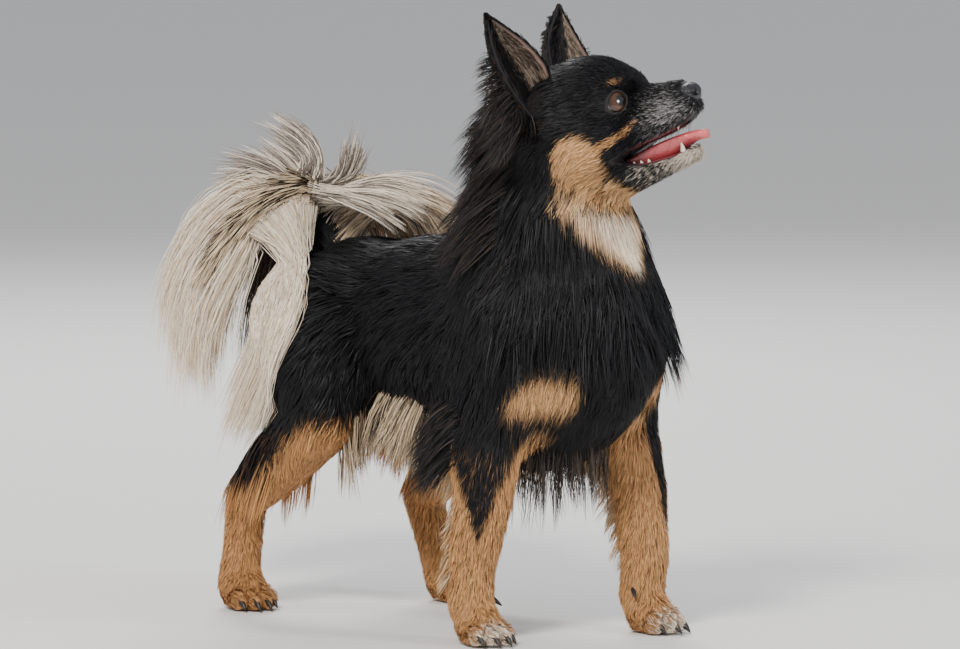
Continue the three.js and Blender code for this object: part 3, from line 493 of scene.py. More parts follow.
def marks(p, scatter):
    """The coat's colour at points of the dog. scatter, 0 to 1 for each, decides hairs at a border."""
    q = into_head(p)
    q[:, 1] = np.abs(q[:, 1])
    qx, qz = q[:, 0], q[:, 2]
    side = np.abs(p[:, 1])
    x, z = p[:, 0], p[:, 2]
    on_head = smooth(-7, 3, over_head_cut(p))
    colour = np.tile(BLACK, (len(p), 1))
    wobble = noise(p, 9, 1.0)

    def lay(mask, tone):
        keep = np.clip((mask - scatter) * 3 + 0.5, 0, 1)[:, None]
        colour[:] = mix(colour, tone, keep * (mask > 0.02)[:, None])

    lay(0.45 * smooth(40, 15, x) * smooth(-12, 5, x) * smooth(185, 215, z), SOOT)
    # Chest: a tan patch above each foreleg, and the pale bib that narrows down from the throat
    for across in (-36, 36):
        lay(
            spot(p + 1.5 * wobble[:, None], (77, across, 111.5), (24, 16, 18.5), 0.22),
            mix(TAN, PALE_TAN, 0.75),
        )
    turn = np.degrees(np.arctan2(p[:, 1] - 2, x - 46)) - 12
    heading = np.where(turn > 0, turn * 1.3, -turn * np.interp(z, [200, 228], [0.8, 1.2]))
    half = np.interp(z, [181, 188, 197, 212, 226], [3, 12, 28, 52, 70])
    bib = smooth(
        -7, 7, half + 4 * wobble - heading
    ) * smooth(178, 184, z) * smooth(18, 34, x) * (1 - on_head)
    pale = smooth(236, 206, z) * smooth(1.25, 0.2, heading / half)
    lay(bib, mix(PALE_TAN, mix(CREAM, WHITE, 0.7), pale[:, None]))
    # Undersides: pale between the legs and under the tail
    belly = smooth(104, 92, z) * smooth(38, 30, side) * smooth(30, 16, x) * smooth(-160, -120, x)
    lay(belly, CREAM)
    lay(smooth(-122, -138, x) * smooth(26, 16, side) * smooth(168, 150, z), mix(CREAM, TAN, 0.4))
    # Forelegs: tan, with a black stripe down the upper front and outside
    fore = smooth(106, 92, z) * smooth(-10, 5, x) * smooth(19, 28, side)
    lay(fore, mix(TAN, PALE_TAN, 0.35))
    for name in ("foreleg_right", "foreleg_left"):
        px, py = PAWS[name]["at"]
        own = (np.sign(p[:, 1]) == np.sign(py)) & (x > 0)
        turn = np.degrees(np.arctan2((p[:, 1] - py) * np.sign(py), x - px + 5)) - 34
        wide = np.interp(z, [50, 58, 78, 102, 112], [-8, 8, 32, 66, 90])
        lay(own * smooth(-9, 9, wide + 5 * wobble - np.abs(turn)) * smooth(118, 108, z), BLACK)
        lay(spot(p, paw_point(name, 15, 0, 4), (9, 13, 8), 0.5) * 0.8, WHITE)
    # Hind legs: tan below the hock and down the front and inside, black outside the thigh
    hind = smooth(-34, -44, x) * smooth(104, 90, z)
    lay(hind, mix(TAN, PALE_TAN, 0.2))
    outside = smooth(38, 47, side + 0.25 * (z - 90) * (z < 90) + 2 * wobble)
    rear = smooth(4, -12, x - np.interp(z, [50, 105], [-127, -68]))
    lay(outside * rear * smooth(56, 70, z) * smooth(130, 112, z), BLACK)
    # Face: brows, cheeks running into the throat, a thin streak to the muzzle, silver muzzle, pale chin
    flat = np.stack([qx, q[:, 1] * 0.05, qz], axis=1) + 0.8 * wobble[:, None] * [1, 0, 1]
    lay(on_head * spot(flat, (-1, 1, -24.5), (12.5, 9, 14), 0.2), mix(TAN, PALE_TAN, 0.8))
    throat = smooth(-34, -39, qz) * smooth(16, 8, qx + 2 * wobble) * smooth(-30, -20, qx)
    lay(on_head * throat, PALE_TAN)
    streak = limb(flat * [1, 0, 1], (12, 0, -20.5, 2.2), (24, 0, -17, 1.0), (31, 0, -13, 0.4))
    lay(on_head * 0.8 * smooth(1.6, -1.2, streak), mix(TAN, PALE_TAN, 0.4))
    lay(on_head * spot(q, (26.2, 12.5, 7.4), (4.4, 10.5, 3.0), 0.3), mix(TAN, PALE_TAN, 0.6))
    silver = 0.12 * smooth(26, 38, qx) * smooth(4, -6, qz) + 0.34 * spot(
        flat, (46, 0.4, -12.5), (8.5, 4, 6.5), 0.5
    )
    near_nose = smooth(0.6, 3.5, ellipsoid(q, NOSE_AT, (6.6, 7.6, 6.0)))
    lay(on_head * silver * near_nose * smooth(-32, -26, qz), SILVER)
    lay(
        on_head * smooth(-31, -35, qz) * mix(0.2, 0.9, smooth(30, 46, qx)) * smooth(14, 24, qx),
        WHITE * 0.8,
    )
    lay(on_head * spot(q, (-14, 25, 4), (12, 12, 14)) * 0.3, SOOT)
    return colour


# Strands and locks of hair

def ribbons(paths, width, across, twist, taper=0.9):
    """Vertices, faces and sizes of flat tapered strands that follow paths (n, k + 1, 3)."""
    n, k = len(paths), paths.shape[1] - 1
    along = unit(np.gradient(paths, axis=1))
    side = unit(np.cross(along, across))
    up = np.cross(side, along)
    angle = twist[:, None, None]
    side = side * np.cos(angle) + up * np.sin(angle)
    s = np.linspace(0, 1, k + 1)[None, :, None]
    half = width[:, None, None] * 0.5 * (0.55 + 0.45 * np.sin(np.minimum(s * 2.2, 1.0) * math.pi / 2))
    half = half * (1 - taper * s ** 1.7)
    left = (paths - side * half)[:, :k]
    right = (paths + side * half)[:, :k]
    vertices = np.concatenate([left, right, paths[:, k:]], axis=1)
    base = np.arange(n)[:, None] * (2 * k + 1)
    quads = [base + np.array([i, k + i, k + i + 1, i + 1]) for i in range(k - 1)]
    tip = base + np.array([k - 1, 2 * k - 1, 2 * k])
    faces = np.concatenate(quads + [tip], axis=1)
    sizes = np.tile([4] * (k - 1) + [3], n)
    return vertices.reshape(-1, 3), faces.reshape(-1), sizes


def unwrap(p):
    """A place from 0 to 1 for each point on an unwrap of the hide: round the trunk and along it for the
    body, round each limb and down it for the legs, and round and over the head."""
    q = into_head(p)
    head = over_head_cut(p) > 0
    leg = ~head & (p[:, 2] < 105)
    u = np.arctan2(p[:, 1], p[:, 2] - 140) / (2 * math.pi) + 0.5
    v = (p[:, 0] + 170) / 310
    for i, name in enumerate(PAWS):
        x, y = PAWS[name]["at"]
        own = leg & (np.sign(p[:, 1]) == np.sign(y)) & ((p[:, 0] > -30) == (x > 0))
        u = np.where(own, (i + 0.5 + 0.48 * np.arctan2(p[:, 1] - y, p[:, 0] - x) / math.pi) / 4, u)
        v = np.where(own, p[:, 2] / 110, v)
    u = np.where(head, np.arctan2(q[:, 1], q[:, 2]) / (2 * math.pi) + 0.5, u)
    v = np.where(head, (q[:, 0] + 50) / 120, v)
    return np.clip(np.stack([u, v], axis=1), 0.004, 0.996)


PATCH = 0.003
# Hair may pass the solids' box by a little
ROOM = np.array([7.0, 2.4, 7.0])
REACH_LOW = np.array(CAD_BOX[0]) / MM - SHIFT - ROOM
REACH_LOW[2] = 0.6
REACH_HIGH = np.array(CAD_BOX[1]) / MM - SHIFT + ROOM


def strand_piece(name, paths, width, across, twist, root, tip, material):
    """One mesh of many strands, coloured from root to tip."""
    n, k = len(paths), paths.shape[1] - 1
    paths = np.clip(paths, REACH_LOW, REACH_HIGH)
    vertices, faces, sizes = ribbons(paths, width, across, twist)
    piece = mesh_object(name, vertices, faces, sizes)
    t = np.concatenate([np.arange(k), np.arange(k), [k]]) / k
    if tip is None:
        order = np.concatenate([np.arange(k), np.arange(k), [k]])
        colours = root[:, order]
    else:
        colours = mix(root[:, None, :], tip[:, None, :], t[None, :, None] ** 1.2)
    paint(piece, colours.reshape(-1, 3))
    edge = np.concatenate([np.zeros(k), np.ones(k), [0.5]]) * PATCH
    place = unwrap(paths[:, 0])[:, None, :] + np.stack([edge, t * PATCH], axis=1)[None] - PATCH / 2
    lay_uv(piece, place.reshape(-1, 2))
    piece.data.materials.append(material)
    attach(piece, "root")
    return piece


def comb(roots, lie, length, steps, depth, top, droop=0.0, wave=0.0):
    """Paths that leave their roots, run along the lie and settle at `top` over the outer coat."""
    paths = [roots]
    heading = unit(lie)
    p = roots
    bend = rng.normal(0, 1, (len(roots), 3)) * wave
    for i in range(1, steps + 1):
        s = i / steps
        g = unit(slope(outer, p))
        heading = unit(heading - g * (heading * g).sum(1, keepdims=True) + bend / steps)
        heading = unit(heading + np.array([0, 0, -1.0]) * droop / steps)
        p = p + heading * (length / steps)[:, None]
        want = -depth + (depth + top) * min(1.0, s * 1.25) ** 0.8
        g = slope(outer, p)
        size = np.linalg.norm(g, axis=1)
        p = p + unit(g) * (want - outer(p) / np.maximum(size, 0.3))[:, None]
        p[:, 2] = np.maximum(p[:, 2], 1.2)
        paths.append(p)
    return np.stack(paths, axis=1)


def gather(paths, clump_size, strength):
    """Draws the tips of neighbouring strands together into wisps."""
    count = max(8, len(paths) // clump_size)
    chosen = rng.choice(len(paths), count, replace=False)
    tree = KDTree(count)
    for i, at in enumerate(paths[chosen, 0]):
        tree.insert(at, i)
    tree.balance()
    near = np.array([tree.find(at)[1] for at in paths[:, 0]])
    offset = paths[chosen][near] - paths
    s = np.linspace(0, 1, paths.shape[1])[None, :, None]
    reach = np.linalg.norm(offset[:, 0], axis=1)
    hold = strength * np.clip(1.5 - reach / 9, 0, 1)[:, None, None]
    return paths + offset * s ** 1.6 * hold


# Materials

def material(name, **values):
    made = bpy.data.materials.new(name)
    made.use_nodes = True
    shader = made.node_tree.nodes["Principled BSDF"]
    for key, value in values.items():
        shader.inputs[key.replace("_", " ")].default_value = value
    return made, made.node_tree.nodes, made.node_tree.links, shader


def bump(nodes, links, shader, height, distance, strength=0.5):
    made = nodes.new("ShaderNodeBump")
    made.inputs["Distance"].default_value = distance
    made.inputs["Strength"].default_value = strength
    links.new(height, made.inputs["Height"])
    links.new(made.outputs["Normal"], shader.inputs["Normal"])
    return made


def texture(nodes, links, kind, scale, stretch=(1, 1, 1), **values):
    made = nodes.new(kind)
    where = nodes.new("ShaderNodeTexCoord")
    place = nodes.new("ShaderNodeMapping")
    place.inputs["Scale"].default_value = stretch
    links.new(where.outputs["Object"], place.inputs["Vector"])
    links.new(place.outputs["Vector"], made.inputs["Vector"])
    made.inputs["Scale"].default_value = scale
    for key, value in values.items():
        made.inputs[key.replace("_", " ")].default_value = value
    return made


def shade_range(nodes, links, value, low, high):
    made = nodes.new("ShaderNodeMapRange")
    made.inputs["To Min"].default_value = low
    made.inputs["To Max"].default_value = high
    links.new(value, made.inputs["Value"])
    return made.outputs["Result"]


def painted(nodes, links, shader, grain, low=0.72, high=1.28, name="Coat"):
    """The painted colour, varied by a grain."""
    paint_node = nodes.new("ShaderNodeAttribute")
    paint_node.attribute_name = name
    vary = nodes.new("ShaderNodeVectorMath")
    vary.operation = "SCALE"
    links.new(paint_node.outputs["Color"], vary.inputs[0])
    links.new(shade_range(nodes, links, grain, low, high), vary.inputs["Scale"])
    links.new(vary.outputs["Vector"], shader.inputs["Base Color"])


def hair_material():
    made, nodes, links, shader = material("Hair", Roughness=0.55, Specular_IOR_Level=0.25)
    grain = texture(nodes, links, "ShaderNodeTexNoise", 420, Detail=2)
    painted(nodes, links, shader, grain.outputs["Fac"], 0.7, 1.3)
    return made


def hide_material():
    made, nodes, links, shader = material("Hide", Roughness=0.62, Specular_IOR_Level=0.3)
    grain = texture(nodes, links, "ShaderNodeTexNoise", 900, Detail=3)
    painted(nodes, links, shader, grain.outputs["Fac"], 0.6, 1.25)
    fine = texture(nodes, links, "ShaderNodeTexNoise", 2200, Detail=2)
    bump(nodes, links, shader, fine.outputs["Fac"], 0.0004, 0.5)
    return made


def wet_material(name, rough, bump_scale, bump_depth, coat=0.5):
    made, nodes, links, shader = material(
        name, Roughness=rough, Specular_IOR_Level=0.5, Coat_Weight=coat, Coat_Roughness=0.18
    )
    cells = texture(nodes, links, "ShaderNodeTexVoronoi", bump_scale)
    painted(nodes, links, shader, cells.outputs["Distance"], 1.1, 0.8)
    bump(nodes, links, shader, cells.outputs["Distance"], bump_depth, 0.7)
    return made


def horn_material(name, rough):
    made, nodes, links, shader = material(name, Roughness=rough, Specular_IOR_Level=0.5)
    grain = texture(nodes, links, "ShaderNodeTexNoise", 500, stretch=(1, 1, 0.3), Detail=3)
    painted(nodes, links, shader, grain.outputs["Fac"], 0.75, 1.2)
    bump(nodes, links, shader, grain.outputs["Fac"], 0.0002, 0.3)
    return made


HAIR, HIDE = hair_material(), hide_material()
NOSE_LEATHER = wet_material("Nose leather", 0.5, 900, 0.0004, 0.05)
TONGUE_FLESH = wet_material("Tongue flesh", 0.3, 1500, 0.00025, 0.6)
EYEBALL = wet_material("Eyeball", 0.12, 300, 0.0, 0.6)
TOOTH, CLAW = horn_material("Tooth", 0.25), horn_material("Claw", 0.4)


def dressed(piece, finish, slot, *nodes):
    piece.data.materials.append(finish)
    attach(piece, "root")
    if nodes:
        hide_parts(*nodes)
    return piece


# The hide

def span(low, high, step):
    return np.arange(low, high + step, step)


def inset_body(p):
    return body(p) + coat_depth(p)


trunk_mesh = surface(inset_body, span(-166, 112, 2.6), span(-68, 68, 2.6), span(-1, 262, 2.6))
head_mesh = surface(head_skin, span(-46, 66, 0.8), span(-43, 43, 0.8), span(-52, 40, 0.8))
head_mesh = (from_head(head_mesh[0]), head_mesh[1])

# Dark of the lips and lids, also used as the painted shade deep in the mouth
DARK_LIP_AND_SHADE = np.array([0.016, 0.012, 0.013])
GUM = np.array([0.26, 0.045, 0.05])


def hide_colour(p):
    """Markings of the hide, with dark lids and lips, and a fleshy mouth with painted shade towards its back."""
    colour = marks(p, rng.uniform(0.1, 0.9, len(p))) * 0.8
    q = into_head(p)
    gap = mouth(q)
    near_head = over_head_cut(p) > -8
    rim = smooth(2.4, 1.0, gap) * near_head
    colour = mix(colour, DARK_LIP_AND_SHADE, rim[:, None])
    inside = smooth(0.6, -0.8, gap - 0.6) * near_head * smooth(50, 44, q[:, 0])
    # Painted shade: inside the mouth the gum colour darkens towards the back.
    mouth_shade = smooth(36, 18, q[:, 0])
    colour = mix(colour, mix(GUM, DARK_LIP_AND_SHADE, mouth_shade[:, None]), inside[:, None])
    for side in SIDES.values():
        near = np.linalg.norm(q - eye_place(side), axis=1) < EYE_R + 2
        lid = smooth(2.0, 0.8, eye_opening(q, side)) * near * near_head
        colour = mix(colour, DARK_LIP_AND_SHADE, lid[:, None])
    return colour


both = np.concatenate([trunk_mesh[0], head_mesh[0]])
faces = np.concatenate([trunk_mesh[1], head_mesh[1] + len(trunk_mesh[0])])
hide = mesh_object("hide", both, faces)
paint(hide, hide_colour(both))
dressed(
    hide, HIDE, "black_coat", "torso", "neck", "head", "jaw", "foreleg_right", "foreleg_left",
    "hindleg_right", "hindleg_left",
)

TAIL = np.array([
    [-118, 0, 168, 13],
    [-131, -1, 186, 11],
    [-134, -6, 203, 9.5],
    [-131, -18, 211, 8.5],
    [-136, -34, 207, 8],
    [-147, -47, 192, 7],
    [-156, -54, 174, 5],
])


def curve_through(points, count):
    """Even steps of a smooth curve through points."""
    points = np.asarray(points, float)
    t = np.linspace(0, len(points) - 1, count)
    k = np.minimum(t.astype(int), len(points) - 2)
    f = (t - k)[:, None]
    before = points[np.maximum(k - 1, 0)]
    a, b = points[k], points[k + 1]
    after = points[np.minimum(k + 2, len(points) - 1)]
    return 0.5 * (
        2 * a + (b - before) * f + (
            2 * before - 5 * a + 4 * b - after
        ) * f**2 + (3 * a - before - 3 * b + after) * f**3
    )


def tube(path, radii, around=12, flat=1.0, up=(0, 0, 1)):
    """Vertices and outward quads of a tube along a path, its ends drawn to points."""
    path = np.asarray(path, float)
    along = unit(np.gradient(path, axis=0))
    side = unit(np.cross(along, up))
    over = np.cross(side, along)
    a = np.linspace(0, 2 * math.pi, around, endpoint=False)
    ring_points = (
        path[:, None]
        + side[:, None] * (np.cos(a)[None, :, None] * np.asarray(radii)[:, None, None])
        + over[:, None] * (np.sin(a)[None, :, None] * np.asarray(radii)[:, None, None] * flat)
    )
    vertices = np.concatenate([ring_points.reshape(-1, 3), path[:1], path[-1:]])
    n = len(path)
    quads = []
    for i in range(n - 1):
        j = np.arange(around)
        nxt = (j + 1) % around
        quads.append(
            np.stack(
                [i * around + j, i * around + nxt, (i + 1) * around + nxt, (i + 1) * around + j], axis=1
            )
        )
    flat_faces = np.concatenate(quads).reshape(-1)
    j = np.arange(around)
    nxt = (j + 1) % around
    first, last = n * around, n * around + 1
    ends = np.concatenate([
        np.stack([nxt, j, np.full(around, first)], axis=1),
        np.stack([(n - 1) * around + j, (n - 1) * around + nxt, np.full(around, last)], axis=1),
    ])
    corners = np.concatenate([flat_faces, ends.reshape(-1)])
    sizes = np.concatenate([np.full((n - 1) * around, 4), np.full(len(ends), 3)])
    return vertices, corners, sizes


def merged(parts):
    """Joins meshes of vertices, flat corners and sizes."""
    start, vertices, corners, sizes = 0, [], [], []
    for v, c, s in parts:
        vertices.append(v)
        corners.append(c + start)
        sizes.append(s)
        start += len(v)
    return np.concatenate(vertices), np.concatenate(corners), np.concatenate(sizes)


# The bone of the tail, under the plume
tail_line = curve_through(TAIL, 40)
bone = mesh_object("tail_core", *tube(tail_line[:, :3], tail_line[:, 3] * 0.85, 14))
paint(bone, np.tile(SOOT * 0.7, (len(bone.data.vertices), 1)))
dressed(bone, HIDE, "cream_coat", "tail")


# Ears: thin cupped leather. The right one opens to the front and side, the left one to the front

EAR_RADII = [6, 13.5, 15.5, 15, 13, 9.5, 5.5, 1.6]
EAR_REACH = [-0.22, 0, 0.18, 0.36, 0.54, 0.72, 0.88, 1]
EAR_WRAP = [60, 94, 98, 94, 88, 80, 72, 60]
EAR_THICK = 2.0


def ear_frame(side):
    root, tip = np.array(EAR_ROOT), np.array(EAR_TIP)
    root, tip = root * [1, side, 1], tip * [1, side, 1]
    axis = unit(tip - root)
    facing = np.array([0.78, -0.34, 0.1] if side > 0 else [0.9, -0.42, 0.1])
    opening = unit(facing - axis * (facing @ axis))
    return root, tip, axis, opening, np.cross(axis, opening)


def ear_point(side, s, turn, inset=0.0):
    """Points of an ear's leather in the head's frame: s from root to tip, turn -1 to 1 from edge to edge."""
    root, tip, axis, opening, across = ear_frame(side)
    r = np.interp(s, EAR_REACH, EAR_RADII)
    wrap = np.radians(np.interp(s, EAR_REACH, EAR_WRAP) - inset * 3)
    thin = r - inset * np.minimum(EAR_THICK, r * 0.6)
    a = wrap * turn
    middle = mix(root, tip, s[:, None]) + opening * (-r * 0.35 + 3 * s)[:, None]
    back = (-thin * np.cos(a) * 0.72 + r * 0.35)[:, None] * opening
    return middle + back + (thin * np.sin(a))[:, None] * across


def ear_mesh(side, rows=44, columns=30):
    s = np.linspace(-0.2, 1, rows)
    t = np.linspace(-1, 1, columns)
    grid_s, grid_t = np.repeat(s, columns), np.tile(t, rows)
    layers = [ear_point(side, grid_s, grid_t, k) for k in (0, 1)]
    vertices = np.concatenate(layers)
    m = rows * columns
    quads = []
    for i in range(rows - 1):
        for j in range(columns - 1):
            a = i * columns + j
            quads.append((a, a + columns, a + columns + 1, a + 1))
            quads.append((m + a, m + a + 1, m + a + columns + 1, m + a + columns))
    for i in range(rows - 1):
        for j, turn in ((0, 1), (columns - 1, -1)):
            a, b = i * columns + j, (i + 1) * columns + j
            quads.append((a, m + a, m + b, b)[::turn])
    for j in range(columns - 1):
        for i, turn in ((0, -1), (rows - 1, 1)):
            a, b = i * columns + j, i * columns + j + 1
            quads.append((a, m + a, m + b, b)[::turn])
    quads = np.array(quads)
    if side < 0:
        quads = quads[:, ::-1]
    return vertices, quads, grid_s, grid_t


EAR_PINK = np.array([0.30, 0.18, 0.135])
for name, side in SIDES.items():
    vertices, quads, grid_s, grid_t = ear_mesh(side)
    ear = mesh_object("ear_leather_" + name, from_head(vertices), quads)
    back = np.tile(BLACK * 1.4, (len(grid_s), 1))
    shade = smooth(0.1, 0.95, grid_s)[:, None]
    front = mix(EAR_PINK, EAR_PINK * 0.5, shade)
    front = mix(front, BLACK * 2, smooth(-0.42, -0.15, -grid_t)[:, None])
    paint(ear, np.concatenate([back, front]))
    dressed(ear, HIDE, "black_coat", "ear_" + name)

# Eyes: large dark globes with a brown iris, a pupil and a rim of white towards the back

GAZE = {-1: np.array([0.88, -0.44, -0.02]), 1: np.array([0.80, 0.56, -0.02])}


def globe(centre, radius, rings=48, around=64):
    a = np.linspace(0, math.pi, rings)[1:-1]
    b = np.linspace(0, 2 * math.pi, around, endpoint=False)
    grid_a, grid_b = np.repeat(a, around), np.tile(b, len(a))
    p = np.stack([np.sin(grid_a) * np.cos(grid_b), np.sin(grid_a) * np.sin(grid_b), np.cos(grid_a)], axis=1)
    p = np.concatenate([p, [[0, 0, 1], [0, 0, -1]]])
    n = len(a)
    j = np.arange(around)
    nxt = (j + 1) % around
    quads = np.concatenate([
        np.stack([i * around + j, (i + 1) * around + j, (i + 1) * around + nxt, i * around + nxt], axis=1)
        for i in range(n - 1)
    ])
    top, bottom = n * around, n * around + 1
    caps = np.concatenate([
        np.stack([np.full(around, top), j, nxt], axis=1),
        np.stack([np.full(around, bottom), (n - 1) * around + nxt, (n - 1) * around + j], axis=1),
    ])
    corners = np.concatenate([quads.reshape(-1), caps.reshape(-1)])
    sizes = np.concatenate([np.full(len(quads), 4), np.full(len(caps), 3)])
    return p, centre + p * radius, corners, sizes


IRIS_OUT, IRIS_IN = np.array([0.014, 0.006, 0.003]), np.array([0.085, 0.032, 0.010])
EYE_WHITE = np.array([0.50, 0.44, 0.40])
for name, side in SIDES.items():
    out, vertices, corners, sizes = globe(eye_place(side), EYE_R - 0.1, 56, 76)
    gaze = unit(GAZE[side])
    away = np.degrees(np.arccos(np.clip(out @ gaze, -1, 1)))
    streak = 0.5 + 0.5 * np.sin(np.arctan2(out @ unit(np.cross(gaze, [0, 0, 1.0])), out[:, 2]) * 37)
    iris = mix(IRIS_OUT, IRIS_IN, (smooth(44, 24, away) * (0.55 + 0.45 * streak))[:, None])
    colour = mix(iris, np.array([0.002, 0.002, 0.002]), smooth(19, 16.5, away)[:, None])
    colour = mix(colour, EYE_WHITE, smooth(46, 51, away)[:, None])
    swell = 1 + 0.035 * smooth(46, 20, away)[:, None]
    vertices = eye_place(side) + (vertices - eye_place(side)) * swell
    eye = mesh_object("eyeball_" + name, from_head(vertices), corners, sizes)
    paint(eye, colour)
    dressed(eye, EYEBALL, "eye", "eye_" + name)

# Nose: broad wet leather with comma nostrils and a groove


def nose_pad(p):
    middle = ellipsoid(p, NOSE_AT, (5.8, 6.2, 5.2))
    return blend(2.2, middle, ellipsoid(mirrored(p), (55, 4.2, -8.2), (5.6, 4, 4.2)))


def nose_form(p):
    q = mirrored(p)
    pad = nose_pad(p)
    nostril = limb(q, (63, 3.0, -8.2, 1.7), (58.5, 4.2, -8.9, 1.5))
    slit = limb(q, (61, 4.8, -9.4, 1.0), (58, 8.2, -9.0, 0.9))
    groove = limb(p, (62.6, 0, -9, 0.45), (61.5, 0, -13.5, 0.6))
    return carve(0.5, pad, np.minimum(np.minimum(nostril, slit), groove))


vertices, quads = surface(nose_form, span(48, 64, 0.28), span(-10, 10, 0.28), span(-14.5, -1, 0.28))
nose = mesh_object("nose_leather", from_head(vertices), quads)
# Painted shade: the leather is darker in the nostrils, slits and groove.
tone = mix(
    np.array([0.009, 0.008, 0.012]), np.array([0.003, 0.003, 0.003]),
    smooth(-0.3, -1.4, nose_pad(vertices))[:, None],
)
paint(nose, tone)
dressed(nose, NOSE_LEATHER, "nose_leather", "nose")

# Tongue, gums and teeth


def tongue_form(p):
    x, y, z = p.T
    u = np.clip((x - 33) / 25, 0, 1)
    half = (8.2 - 1.6 * u) * np.sqrt(np.clip(1 - smooth(0.6, 1.03, (x - 33) / 25) * 0.86, 0.02, 1))
    bend = -27.6 - 0.0035 * (x - 44) ** 2 - 0.006 * np.maximum(0, x - 50) ** 2
    dip = 1.4 * np.exp(-((y / 1.5) ** 2)) * smooth(26, 36, x) - 0.012 * y * y
    h = z - bend + dip * 0.6
    under = mix(7.5, 2.2, smooth(38, 54, x))
    flat = np.sqrt((y / half) ** 2 + (h / np.where(h > 0, 2.4, under)) ** 2) - 1
    return np.maximum(flat * 2.2, np.maximum(x - 58.5, 15 - x))


vertices, quads = surface(tongue_form, span(14, 62, 0.45), span(-10, 10, 0.45), span(-40, -22, 0.45), 1)
tongue = mesh_object("tongue_flesh", from_head(vertices), quads)
u = vertices[:, 0]
# The tongue's own red, lighter towards the tip; painted shade darkens the groove down its middle and the part
# deep in the mouth.
tongue_red_and_shade = mix(np.array([0.46, 0.075, 0.085]), np.array([0.74, 0.125, 0.125]), smooth(40, 60, u)[:, None])
tongue_red_and_shade = tongue_red_and_shade * (1 - 0.35 * np.exp(-((vertices[:, 1] / 1.1) ** 2)) * smooth(60, 50, u))[:, None]
paint(tongue, tongue_red_and_shade * mix(0.5, 1.0, smooth(18, 38, u))[:, None])
dressed(tongue, TONGUE_FLESH, "tongue_flesh", "tongue")


def tooth(base, tip, width, lean=0.0):
    base, tip = np.array(base, float), np.array(tip, float)
    s = np.linspace(0, 1, 8)[:, None]
    path = mix(base, tip, s) + np.array([-lean, 0, 0]) * (s * s - s)
    radii = width * 0.5 * np.array([0.8, 1, 1, 0.9, 0.75, 0.55, 0.35, 0.12])
    v, c, z = tube(path, radii, 10, 0.8, (0, 1, 0.01))
    return from_head(v), c, z


teeth = []
for side in SIDES.values():
    teeth.append(tooth((44.6, 5.6 * side, -36), (45.8, 6.5 * side, -29.3), 3.0, 1.5))
    teeth.append(tooth((47, 6.0 * side, -15), (46.6, 6.4 * side, -23.4), 2.6, 2))
    for k, x in enumerate((42, 38, 34, 29.5)):
        spread = 5.4 + k * 1.0
        teeth.append(
            tooth((x, spread * side, -16), (x, (spread + 0.2) * side, -22.4 - k * 0.2), 2.8 + 0.4 * k)
        )
    for k, x in ((2, 28.0), (3, 24.5), (4, 21.2)):
        spread = 6.4 + k * 1.0
        teeth.append(tooth((x, spread * side, -36), (x, spread * side, -32.6 + 0.5 * k), 2.4 + 0.3 * k))
    for k, y in enumerate((0.8, 2.3, 3.8)):
        teeth.append(tooth((50.5 - k * 0.7, y * side, -36), (51 - k * 0.7, y * side, -32.4), 1.5))
        teeth.append(tooth((52.5 - k * 0.8, y * side, -13), (52.6 - k * 0.8, y * side, -18.4), 1.6))
v, c, z = merged(teeth)
teeth_piece = mesh_object("teeth", v, c, z)
paint(teeth_piece, np.tile([0.72, 0.66, 0.54], (len(v), 1)))
dressed(teeth_piece, TOOTH, "cream_coat")

# Claws, curved and dark
claws = []
for name in PAWS:
    length = PAWS[name]["length"]
    for side in TOE_SIDES:
        far = (12.5 if abs(side) > 5 else 17.5) * length
        base = np.array(paw_point(name, far - 2.5, side, 5.4))
        tip = np.array(paw_point(name, far + 5, side * 1.03, 1.2))
        s = np.linspace(0, 1, 9)[:, None]
        path = mix(base, tip, s) + np.array([0, 0, 2.2]) * (s - s * s) * 2
        claws.append(
            tube(path, 1.6 * np.array([0.9, 1, 0.98, 0.93, 0.85, 0.74, 0.58, 0.38, 0.12]), 10, 1.15)
        )
    if name.startswith("fore"):
        inner = -np.sign(PAWS[name]["at"][1])
        base = np.array(paw_point(name, -4, inner * 9.0, 22))
        tip = np.array(paw_point(name, 0.5, inner * 12.5, 18))
        s = np.linspace(0, 1, 7)[:, None]
        claws.append(tube(mix(base, tip, s), 1.3 * np.array([1, 1, 0.95, 0.85, 0.7, 0.45, 0.15]), 8))
v, c, z = merged(claws)
claw_piece = mesh_object("claws", v, c, z)
paint(claw_piece, np.tile([0.020, 0.015, 0.012], (len(v), 1)))
dressed(claw_piece, CLAW, "nose_leather")


# The coat

def roots_from(mesh_data, per_mm2, keep=None, pace=None):
    """Roots spread over a surface by area."""
    vertices, quads = mesh_data
    a, b, c, d = (vertices[quads[:, i]] for i in range(4))
    area = 0.5 * np.linalg.norm(np.cross(c - a, d - b), axis=1)
    centre = (a + b + c + d) / 4
    weight = area * (pace(centre) if pace else 1.0)
    if keep is not None:
        weight = weight * keep(centre)
    count = int(weight.sum() * per_mm2)
    chosen = rng.choice(len(quads), count, p=weight / weight.sum())
    s, t = rng.random((2, count, 1))
    a, b, c, d = a[chosen], b[chosen], c[chosen], d[chosen]
    return mix(mix(a, b, s), mix(d, c, s), t)


